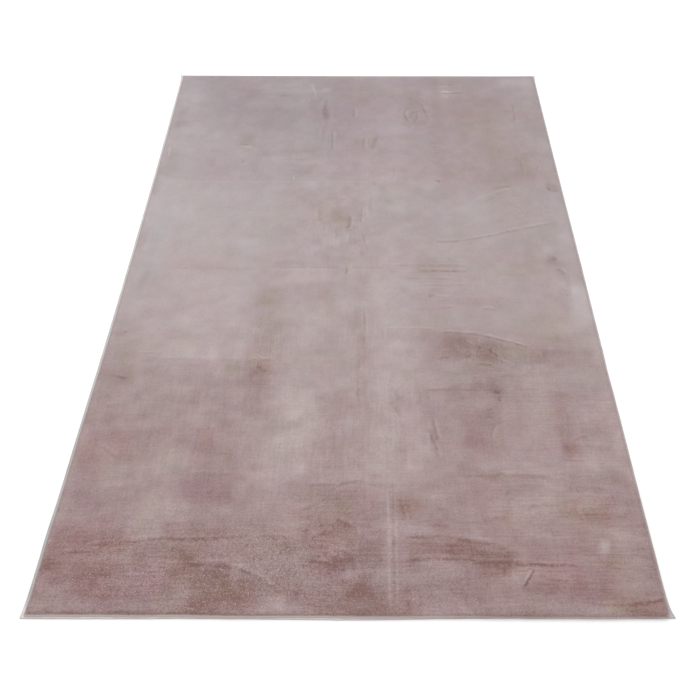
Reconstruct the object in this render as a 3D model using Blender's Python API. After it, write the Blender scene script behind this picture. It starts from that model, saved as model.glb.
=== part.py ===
"""A low pile rug: a pile cloth lies on a pale backing cloth and is sewn down to it all round.

The rug lies flat. Its length runs along Y with the front edge at -Y, and the origin is
on the floor, at the middle of the box round its outline.
"""

import math
from collections import namedtuple

import bmesh
import bpy
from mathutils import Vector

# Driving dimensions, in metres.
RUG_WIDTH = 1.600           # across the rug, from corner to corner
RUG_LENGTH = 2.300          # along the rug, from corner to corner
LEFT_BOW = 0.010            # how far the left edge curves in at its middle
RIGHT_BOW = 0.002
END_BOW = 0.001             # the same, of the front and back edges

BACKING_THICKNESS = 0.0020
CLOTH_GAP = 0.0003          # between the backing cloth and the pile cloth
PILE_TOP = 0.0100           # height of the pile's tips above the floor

BACKING_CORNER_RADIUS = 0.0015
CORNER_PULL_REACH = 0.022   # how far along the edges a corner's pulled point fades out
LEAST_RADIUS = 0.0015       # of a corner, where it is set in by more than its own radius

# Where the pile spreads over the backing along the front edge, or draws back from it where
# negative: the middle of the stretch, to the right of the rug's own middle, and its spread.
Bulge = namedtuple("Bulge", "at spread out")
FRONT_BULGES = (
    Bulge(at=-0.700, spread=0.25, out=-0.0011),
    Bulge(at=0.560, spread=0.34, out=0.0050),
)

POINTS_ALONG_EDGE = 18
POINTS_ROUND_CORNER = 5

# The edges, anticlockwise from the front: the way along each, the way out of the rug, half
# the length of the edge, its distance from the middle, its bow, and how wide a strip of
# backing shows beyond the pile.
Edge = namedtuple("Edge", "along out half_run reach bow showing")
HALF_WIDTH = RUG_WIDTH / 2
HALF_LENGTH = RUG_LENGTH / 2
FRONT = Edge(Vector((1, 0)), Vector((0, -1)), HALF_WIDTH, HALF_LENGTH, END_BOW, 0.0052)
RIGHT = Edge(Vector((0, 1)), Vector((1, 0)), HALF_LENGTH, HALF_WIDTH, RIGHT_BOW, 0.0025)
BACK = Edge(Vector((-1, 0)), Vector((0, 1)), HALF_WIDTH, HALF_LENGTH, END_BOW, 0.0050)
LEFT = Edge(Vector((0, -1)), Vector((-1, 0)), HALF_LENGTH, HALF_WIDTH, LEFT_BOW, 0.0060)
EDGES = (FRONT, RIGHT, BACK, LEFT)

# The corner at the end of each edge: how round the pile cloth is cut there, and how far the
# backing's tip is pulled out across and along the rug.
Corner = namedtuple("Corner", "pile_radius pull_x pull_y")
CORNERS = (
    Corner(pile_radius=0.015, pull_x=0.012, pull_y=0.002),      # front right
    Corner(pile_radius=0.009, pull_x=0.005, pull_y=0.002),      # back right
    Corner(pile_radius=0.009, pull_x=-0.006, pull_y=0.002),     # back left
    Corner(pile_radius=0.005, pull_x=-0.004, pull_y=0.001),     # front left
)

# A section through each cloth's edge, from its underside up to its top.
Rim = namedtuple("Rim", "inset height")
BACKING_RIM = (
    Rim(inset=0.0004, height=0.0),
    Rim(inset=0.0, height=0.0005),
    Rim(inset=0.0, height=0.0015),
    Rim(inset=0.0004, height=BACKING_THICKNESS),
)
PILE_RIM = (
    Rim(inset=0.0010, height=BACKING_THICKNESS + CLOTH_GAP),
    Rim(inset=0.0002, height=0.0030),
    Rim(inset=0.0, height=0.0044),
    Rim(inset=0.0006, height=0.0058),
    Rim(inset=0.0018, height=0.0067),
    Rim(inset=0.0032, height=0.0069),       # crown of the rolled edge
    Rim(inset=0.0046, height=0.0063),
    Rim(inset=0.0056, height=0.0054),       # groove that the stitches pull down
    Rim(inset=0.0066, height=0.0062),
    Rim(inset=0.0085, height=0.0082),
    Rim(inset=0.0115, height=0.0094),
    Rim(inset=0.0160, height=0.0099),
    Rim(inset=0.0240, height=PILE_TOP),
)

# Soft marks across the pile, where the rug lay folded: the place along the rug, the depth
# (or height, where negative), and the stretch across the rug.
Fold = namedtuple("Fold", "y depth from_x to_x")
FOLDS = (
    Fold(y=0.433, depth=-0.0006, from_x=-0.74, to_x=0.30),
    Fold(y=-0.017, depth=0.0010, from_x=-0.60, to_x=0.42),
    Fold(y=-0.395, depth=0.0007, from_x=-0.74, to_x=-0.26),
    Fold(y=-0.803, depth=0.0010, from_x=-0.20, to_x=0.10),
    Fold(y=-0.955, depth=0.0009, from_x=-0.72, to_x=0.06),
)
FOLD_HALF_WIDTH = 0.014
FOLD_FADE = 0.080           # length over which a fold mark rises out at its ends
CROSS_CUTS = 12             # lines along the rug that the fold marks bend at

PILE_COLOUR = (0.40, 0.32, 0.32, 1.0)
PILE_ROUGHNESS = 0.95
BACKING_COLOUR = (0.66, 0.62, 0.60, 1.0)
BACKING_ROUGHNESS = 0.90


def front_bulge(run):
    """How far the pile spreads forward at a place along the front edge."""
    return sum(bulge.out * math.exp(-((run - bulge.at) / bulge.spread) ** 2) for bulge in FRONT_BULGES)


def edge_point(edge, run, inset, is_pile):
    """A point on one edge of a cloth, set in from it by inset."""
    share = run / edge.half_run
    reach = edge.reach - edge.bow * (1.0 - share * share) - inset
    if is_pile:
        reach -= edge.showing
        if edge is FRONT:
            reach += front_bulge(run)
    return edge.along * run + edge.out * reach


def pulled(point):
    """A point of the backing's edge, moved with the corners that are pulled out."""
    moved = point.copy()
    for edge, corner in zip(EDGES, CORNERS):
        tip = edge.along * edge.half_run + edge.out * edge.reach
        share = math.exp(-(point - tip).length / CORNER_PULL_REACH)
        moved += Vector((corner.pull_x, corner.pull_y)) * share
    return moved


def outline(inset, is_pile):
    """The points of a cloth's outline, anticlockwise from the front left corner."""
    points = []
    for i, edge in enumerate(EDGES):
        before = EDGES[i - 1]
        after = EDGES[(i + 1) % len(EDGES)]
        radii = [BACKING_CORNER_RADIUS, BACKING_CORNER_RADIUS]
        showing = (0.0, 0.0)
        if is_pile:
            radii = [CORNERS[i - 1].pile_radius, CORNERS[i].pile_radius]
            showing = (before.showing, after.showing)
        radii = [max(radius - inset, LEAST_RADIUS) for radius in radii]
        start = -(before.reach - showing[0] - inset - radii[0])
        end = after.reach - showing[1] - inset - radii[1]
        for k in range(POINTS_ALONG_EDGE + 1):
            share = 0.5 - 0.5 * math.cos(math.pi * k / POINTS_ALONG_EDGE)
            points.append(edge_point(edge, start + (end - start) * share, inset, is_pile))
        centre = points[-1] - edge.out * radii[1]
        for k in range(1, POINTS_ROUND_CORNER):
            turn = 0.5 * math.pi * k / POINTS_ROUND_CORNER
            points.append(centre + (edge.out * math.cos(turn) + edge.along * math.sin(turn)) * radii[1])
    if not is_pile:
        points = [pulled(point) for point in points]
    return points


def box_middle(points):
    """The middle of the box round some points."""
    xs = [point.x for point in points]
    ys = [point.y for point in points]
    return Vector(((min(xs) + max(xs)) / 2, (min(ys) + max(ys)) / 2))


def loft(rim, is_pile):
    """A closed solid whose edge follows a section, and its flat top face."""
    middle = box_middle(outline(0.0, is_pile=False))
    mesh = bmesh.new()
    loops = []
    for row in rim:
        ring = [point - middle for point in outline(row.inset, is_pile)]
        loops.append([mesh.verts.new((point.x, point.y, row.height)) for point in ring])
    for lower, upper in zip(loops, loops[1:]):
        for i in range(len(lower)):
            mesh.faces.new((lower[i - 1], lower[i], upper[i], upper[i - 1]))
    mesh.faces.new(reversed(loops[0]))
    top = mesh.faces.new(loops[-1])
    return mesh, top


def fold_depth(fold, x):
    """How deep a fold mark is at a place across the rug."""
    inside = min(x - fold.from_x, fold.to_x - x)
    share = min(max(inside / FOLD_FADE, 0.0), 1.0)
    return fold.depth * share * share * (3.0 - 2.0 * share)


def press_folds(mesh, top):
    """Cut the top face along and across the rug, and press the fold marks into it."""
    faces = [top]
    rim = set(top.verts)
    spacing = RUG_WIDTH / CROSS_CUTS
    planes = [(Vector(((i - CROSS_CUTS / 2) * spacing, 0, 0)), Vector((1, 0, 0)))
              for i in range(1, CROSS_CUTS)]
    for fold in FOLDS:
        for side in (-FOLD_HALF_WIDTH, 0.0, FOLD_HALF_WIDTH):
            planes.append((Vector((0, fold.y + side, 0)), Vector((0, 1, 0))))
    for place, normal in planes:
        verts = {vert for face in faces for vert in face.verts}
        edges = {edge for face in faces for edge in face.edges}
        cut = bmesh.ops.bisect_plane(mesh, geom=faces + list(edges) + list(verts),
                                     plane_co=place, plane_no=normal)
        faces = [item for item in cut["geom"] if isinstance(item, bmesh.types.BMFace)]
    for vert in {vert for face in faces for vert in face.verts} - rim:
        for fold in FOLDS:
            if abs(vert.co.y - fold.y) < FOLD_HALF_WIDTH / 2:
                vert.co.z -= fold_depth(fold, vert.co.x)


def cloth_material(name, colour, roughness):
    """A plain cloth finish."""
    material = bpy.data.materials.new(name)
    material.use_nodes = True
    shader = material.node_tree.nodes["Principled BSDF"]
    shader.inputs["Base Color"].default_value = colour
    shader.inputs["Roughness"].default_value = roughness
    shader.inputs["Metallic"].default_value = 0.0
    return material


def add_object(name, mesh, material):
    """Put a finished mesh into the scene as one object."""
    bmesh.ops.recalc_face_normals(mesh, faces=mesh.faces)
    data = bpy.data.meshes.new(name)
    mesh.to_mesh(data)
    mesh.free()
    data.materials.append(material)
    bpy.context.scene.collection.objects.link(bpy.data.objects.new(name, data))


def add_backing_cloth():
    """The pale cloth underneath, whose edge shows as a narrow strip round the pile."""
    mesh, _ = loft(BACKING_RIM, is_pile=False)
    add_object("backing_cloth", mesh, cloth_material("backing", BACKING_COLOUR, BACKING_ROUGHNESS))


def add_pile_cloth():
    """The pile cloth, with its rolled and stitched edge and its fold marks."""
    mesh, top = loft(PILE_RIM, is_pile=True)
    press_folds(mesh, top)
    add_object("pile_cloth", mesh, cloth_material("pile", PILE_COLOUR, PILE_ROUGHNESS))


for leftover in list(bpy.data.objects):
    bpy.data.objects.remove(leftover, do_unlink=True)
add_backing_cloth()
add_pile_cloth()
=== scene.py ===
import math

import bmesh
import bpy
import numpy as np
from mathutils import Matrix, Vector


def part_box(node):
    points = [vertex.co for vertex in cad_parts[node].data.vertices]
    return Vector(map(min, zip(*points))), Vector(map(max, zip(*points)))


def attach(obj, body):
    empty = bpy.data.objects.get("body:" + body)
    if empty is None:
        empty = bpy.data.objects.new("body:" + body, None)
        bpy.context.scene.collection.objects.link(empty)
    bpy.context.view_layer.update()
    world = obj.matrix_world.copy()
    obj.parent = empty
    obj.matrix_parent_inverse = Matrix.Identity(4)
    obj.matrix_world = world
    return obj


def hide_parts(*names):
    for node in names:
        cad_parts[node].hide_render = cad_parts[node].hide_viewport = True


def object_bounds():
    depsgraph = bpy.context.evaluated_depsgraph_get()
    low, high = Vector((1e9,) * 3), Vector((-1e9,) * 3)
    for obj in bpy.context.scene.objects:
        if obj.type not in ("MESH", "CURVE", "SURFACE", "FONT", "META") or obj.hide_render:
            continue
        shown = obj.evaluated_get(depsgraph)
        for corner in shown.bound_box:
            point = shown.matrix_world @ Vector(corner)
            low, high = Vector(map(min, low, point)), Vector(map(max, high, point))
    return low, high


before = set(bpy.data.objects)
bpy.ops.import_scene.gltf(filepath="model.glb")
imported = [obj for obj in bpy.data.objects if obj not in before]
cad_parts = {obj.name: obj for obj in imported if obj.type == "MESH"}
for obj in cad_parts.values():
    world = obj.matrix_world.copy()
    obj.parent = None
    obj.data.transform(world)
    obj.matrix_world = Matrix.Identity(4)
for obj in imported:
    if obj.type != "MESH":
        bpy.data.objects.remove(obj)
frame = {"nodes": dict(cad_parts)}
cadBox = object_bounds()
print("frame loaded:", ", ".join(frame["nodes"]))


def softNoise(x, y, across, along, seed):
    # lumps about across wide and along long, from -1 to 1
    size = 128                  # of the lattice, in lumps
    lattice = np.random.default_rng(seed).uniform(-1, 1, (size, size))
    u = x / across + 40.0       # keeps clear of the lattice's ends
    v = y / along + 40.0
    i = np.floor(u).astype(int)
    j = np.floor(v).astype(int)
    s = u - i
    t = v - j
    s = s * s * (3 - 2 * s)
    t = t * t * (3 - 2 * t)
    left, right = i % size, (i + 1) % size
    front, back = j % size, (j + 1) % size
    near = lattice[left, front] * (1 - s) + lattice[right, front] * s
    far = lattice[left, back] * (1 - s) + lattice[right, back] * s
    return near * (1 - t) + far * t


def fade(value, low, high):
    # 0 below low, 1 above high, smooth between
    share = np.clip((value - low) / (high - low), 0, 1)
    return share * share * (3 - 2 * share)


def drifted(value, x, y, waves):
    # adds some noises, each given as its strength, its lumps' size across and along, and its seed
    for strength, across, along, seed in waves:
        value = value + strength * softNoise(x, y, across, along, seed)
    return value


def rowsOf(columns, rows):
    # rows of whole numbers: a column's own number says how many of them make 1, or one metre, and
    # what a row leaves out at its end is 0
    return [{label: (row[k] if k < len(row) else 0) / parts
             for k, (label, parts) in enumerate(columns.items())} for row in rows]


rug = {
    "halfWidth": 0.800,
    "halfLength": 1.150,
    "bow": {"left": 0.010, "right": 0.002, "front": 0.001, "back": 0.001},      # how far each edge curves in
    "pullReach": 0.022,         # how far from a corner the pull on its tip is felt
    "outlinePoints": 400,       # along each edge, when a cloth is measured
    "bulges": [                 # of both cloths: side, where along it, spread, how far it stands out
        ("front", 0.030, 0.170, 0.0034),
        ("front", -0.350, 0.300, 0.0012),
        ("front", -0.400, 0.060, -0.0010),
        ("front", 0.550, 0.250, -0.0010),
        ("left", -0.620, 0.150, 0.0010),
        ("left", -0.950, 0.070, 0.0018),
        ("right", 0.080, 0.200, 0.0010),
        ("right", -0.440, 0.060, -0.0012),
        ("right", -1.000, 0.080, 0.0010),
    ],
}

pileCut = {
    "node": "pile_cloth",
    "front": 0.0052,            # strip of backing that shows beyond the pile
    "right": 0.0025,
    "back": 0.0050,
    "left": 0.0060,
    "bulges": [
        ("front", -0.700, 0.250, -0.0011),
        ("front", -0.270, 0.120, 0.0012),
        ("front", -0.060, 0.080, -0.0012),
        ("front", 0.560, 0.340, 0.0050),
        *rug["bulges"],
    ],
    "corners": {"front left": 0.005, "front right": 0.015, "back right": 0.009, "back left": 0.009},
    "pulls": {},
    "ragged": 0.0004,           # how uneven the cut edge is
    "raggedLump": 0.030,
    "rim": [                    # set in from the edge, height
        (0.0, 0.0044),
        (0.0006, 0.0058),
        (0.0018, 0.0067),
        (0.0032, 0.0069),       # crown of the rolled edge
        (0.0046, 0.0063),
        (0.0056, 0.0057),       # groove of the seam
        (0.0066, 0.0062),
        (0.0085, 0.0076),
        (0.0115, 0.0086),
        (0.0160, 0.0091),
        (0.0240, 0.0092),
    ],
    "under": [(0.0002, 0.0030), (0.0010, 0.0023)],      # below the rim: set in, height
    "reliefFrom": (0.008, 0.024),       # set in from the edge, where the pile's own relief fades in
    "cell": 0.0069,
}

backingCut = {
    "node": "backing_cloth",
    "front": 0.0,
    "right": 0.0,
    "back": 0.0,
    "left": 0.0,
    "bulges": [*rug["bulges"], ("back", -0.550, 0.350, 0.0015)],
    "corners": dict.fromkeys(("front left", "front right", "back right", "back left"), 0.0015),
    "pulls": {                  # how far each corner's tip is pulled out of square
        "front left": (-0.004, 0.001),
        "front right": (0.012, 0.002),
        "back right": (0.005, 0.002),
        "back left": (-0.006, 0.002),
    },
    "ragged": 0.0003,
    "raggedLump": 0.022,
    "rim": [
        (0.0, 0.0015),
        (0.0004, 0.0020),
        (0.0012, 0.0020),
    ],
    "under": [(0.0, 0.0005), (0.0004, 0.0)],
    "cell": 0.0200,
    "edgeStep": 0.0025,         # the first cell in from the rim, and how each next one grows
    "stepGrowth": 1.25,
}


def cutSize(cut):
    width = 2 * rug["halfWidth"] - cut["left"] - cut["right"]
    length = 2 * rug["halfLength"] - cut["front"] - cut["back"]
    return width, length


def roundCorners(cut, a, b):
    # a and b are distances from the left and the front edge; rows near a corner turn on arcs
    width, length = cutSize(cut)
    for corner, radius in cut["corners"].items():
        fromSide = a if "left" in corner else width - a
        fromEnd = b if "front" in corner else length - b
        ring = np.minimum(fromSide, fromEnd)
        run = np.abs(fromSide - fromEnd)
        bend = np.maximum(radius - ring, 1e-9)
        inside = (run < bend) & (radius > ring)
        turn = -0.75 * math.pi + 0.25 * math.pi * run / bend
        longer = ring + bend * (1 + np.cos(turn))
        shorter = ring + bend * (1 + np.sin(turn))
        newSide = np.where(fromSide >= fromEnd, longer, shorter)
        newEnd = np.where(fromSide >= fromEnd, shorter, longer)
        fromSide = np.where(inside, newSide, fromSide)
        fromEnd = np.where(inside, newEnd, fromEnd)
        a = fromSide if "left" in corner else width - fromSide
        b = fromEnd if "front" in corner else length - fromEnd
    return a, b


def edgeLines(cut, x, y):
    # how far out each of the four edges stands beside a point
    lines = {}
    for seed, side in enumerate(("left", "right", "front", "back"), start=1):
        run, halfRun, reach = y, rug["halfLength"], rug["halfWidth"]
        if side in ("front", "back"):
            run, halfRun, reach = x, rug["halfWidth"], rug["halfLength"]
        bow = rug["bow"][side] * (1 - np.clip(run / halfRun, -1, 1) ** 2)
        wave = cut["ragged"] * softNoise(run, run, cut["raggedLump"], 9, seed)      # even the other way
        lines[side] = reach - bow - cut[side] + wave
        for bulgeSide, place, spread, out in cut["bulges"]:
            if bulgeSide == side:
                lines[side] = lines[side] + out * np.exp(-((run - place) / spread) ** 2)
    return lines


def placed(cut, a, b):
    # where a point of the cut cloth lies on the floor
    width, length = cutSize(cut)
    a, b = roundCorners(cut, a, b)
    x = a - rug["halfWidth"] + cut["left"]
    y = b - rug["halfLength"] + cut["front"]
    lines = edgeLines(cut, x, y)
    newX = -lines["left"] + a * (lines["left"] + lines["right"]) / width
    newY = -lines["front"] + b * (lines["front"] + lines["back"]) / length
    for corner, pull in cut["pulls"].items():
        tipX = rug["halfWidth"] * (-1 if "left" in corner else 1)
        tipY = rug["halfLength"] * (-1 if "front" in corner else 1)
        share = np.exp(-np.hypot(newX - tipX, newY - tipY) / rug["pullReach"])
        newX = newX + pull[0] * share
        newY = newY + pull[1] * share
    return newX + cut.get("shiftX", 0.0), newY + cut.get("shiftY", 0.0)


def insetOf(cut, a, b):
    width, length = cutSize(cut)
    return np.minimum(np.minimum(a, width - a), np.minimum(b, length - b))


def edgeRun(cut, count):
    # points all round the edge of the cut cloth, from the front left corner
    width, length = cutSize(cut)
    run = np.linspace(0, 1, count)
    zero = np.zeros(count)
    a = np.concatenate([run * width, zero + width, (1 - run) * width, zero])
    b = np.concatenate([zero, run * length, zero + length, (1 - run) * length])
    return a, b


def centreOnFrame(cut):
    # lines the cut cloth up with the box of its solid
    low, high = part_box(cut["node"])
    x, y = placed(cut, *edgeRun(cut, rug["outlinePoints"]))
    cut["shiftX"] = (low[0] + high[0] - x.min() - x.max()) / 2
    cut["shiftY"] = (low[1] + high[1] - y.min() - y.max()) / 2
    print(cut["node"], "lined up, shifted by", round(cut["shiftX"], 5), round(cut["shiftY"], 5))


def linesAcross(size, cut):
    # places of the cuts along one side of a cloth, close together near both edges
    near = [inset for inset, _ in cut["rim"]]
    start = near[-1]
    if "edgeStep" in cut:       # a coarse cloth still needs close lines where its corners are pulled
        step = cut["edgeStep"]
        while step < cut["cell"]:
            start += step
            near.append(start)
            step *= cut["stepGrowth"]
    count = max(2, round((size - 2 * start) / cut["cell"]))
    middle = np.linspace(start, size - start, count + 1)[1:-1]
    near = np.array(near)
    return np.concatenate([near, middle, (size - near)[::-1]])


def gridSheet(name, cut, relief):
    # a closed cloth: a grid for its top, whose edge is drawn down and in, and a flat underside
    width, length = cutSize(cut)
    columns = linesAcross(width, cut)
    rows = linesAcross(length, cut)
    shape = bmesh.new()
    bmesh.ops.create_grid(shape, x_segments=len(columns) - 1, y_segments=len(rows) - 1, size=1.0)
    ring = [edge for edge in shape.edges if edge.is_boundary]
    for _ in cut["under"]:
        drawn = bmesh.ops.extrude_edge_only(shape, edges=ring)["geom"]
        bmesh.ops.translate(shape, vec=(0, 0, -1),
                            verts=[item for item in drawn if isinstance(item, bmesh.types.BMVert)])
        ring = [item for item in drawn if isinstance(item, bmesh.types.BMEdge) and item.is_boundary]
    bmesh.ops.edgeloop_fill(shape, edges=ring)
    data = bpy.data.meshes.new(name)
    shape.to_mesh(data)
    shape.free()

    spots = placesOf(data)
    a = columns[np.rint((spots[:, 0] + 1) / 2 * (len(columns) - 1)).astype(int)]
    b = rows[np.rint((spots[:, 1] + 1) / 2 * (len(rows) - 1)).astype(int)]
    level = np.rint(-spots[:, 2]).astype(int)
    inset = insetOf(cut, a, b)
    rimInset, rimHeight = np.array(cut["rim"]).T
    height = np.interp(inset, rimInset, rimHeight)
    for k, (underInset, underHeight) in enumerate(cut["under"], start=1):
        below = level == k
        a = np.where(below, np.clip(a, underInset, width - underInset), a)
        b = np.where(below, np.clip(b, underInset, length - underInset), b)
        height = np.where(below, underHeight, height)
    x, y = placed(cut, a, b)
    height = height + np.where(level == 0, relief(x, y, inset), 0)
    data.vertices.foreach_set("co", np.stack([x, y, height], axis=1).ravel())

    fixed = bmesh.new()
    fixed.from_mesh(data)
    bmesh.ops.recalc_face_normals(fixed, faces=fixed.faces)
    fixed.to_mesh(data)
    fixed.free()
    data.shade_smooth()
    return data, x, y, inset


def placesOf(data):
    places = np.empty(len(data.vertices) * 3)
    data.vertices.foreach_get("co", places)
    return places.reshape(-1, 3)


# How the pile is brushed: the light and shade of its leaning nap are painted into its colour. Shade
# runs from 0, the palest nap, to 1, the darkest. Warmth runs from 0, lilac, to 1, brown, and blush
# from 0, greyer, to 1, pinker. Speckle is how much its tips glint, as painted glints and painted
# shade between them.
# along the rug: the yarn's own tone, with painted shade darkening and reddening the front and painted sheen
# paling and greying the back
lengthwise = rowsOf({"y": 100, "shade": 1000, "warmth": 100, "blush": 100, "speckle": 100}, [
    (-116, 810, 48, 70, 100), (-105, 785, 48, 70, 100), (-95, 770, 46, 72, 85), (-80, 655, 50, 65, 60),
    (-60, 595, 49, 62, 45), (-40, 565, 54, 53, 35), (-20, 535, 50, 49, 22), (5, 530, 47, 42, 15),
    (30, 545, 46, 35, 12), (45, 582, 42, 32, 10), (70, 633, 27, 24, 8), (95, 685, 24, 16, 6),
    (116, 670, 22, 11, 6),
])

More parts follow.
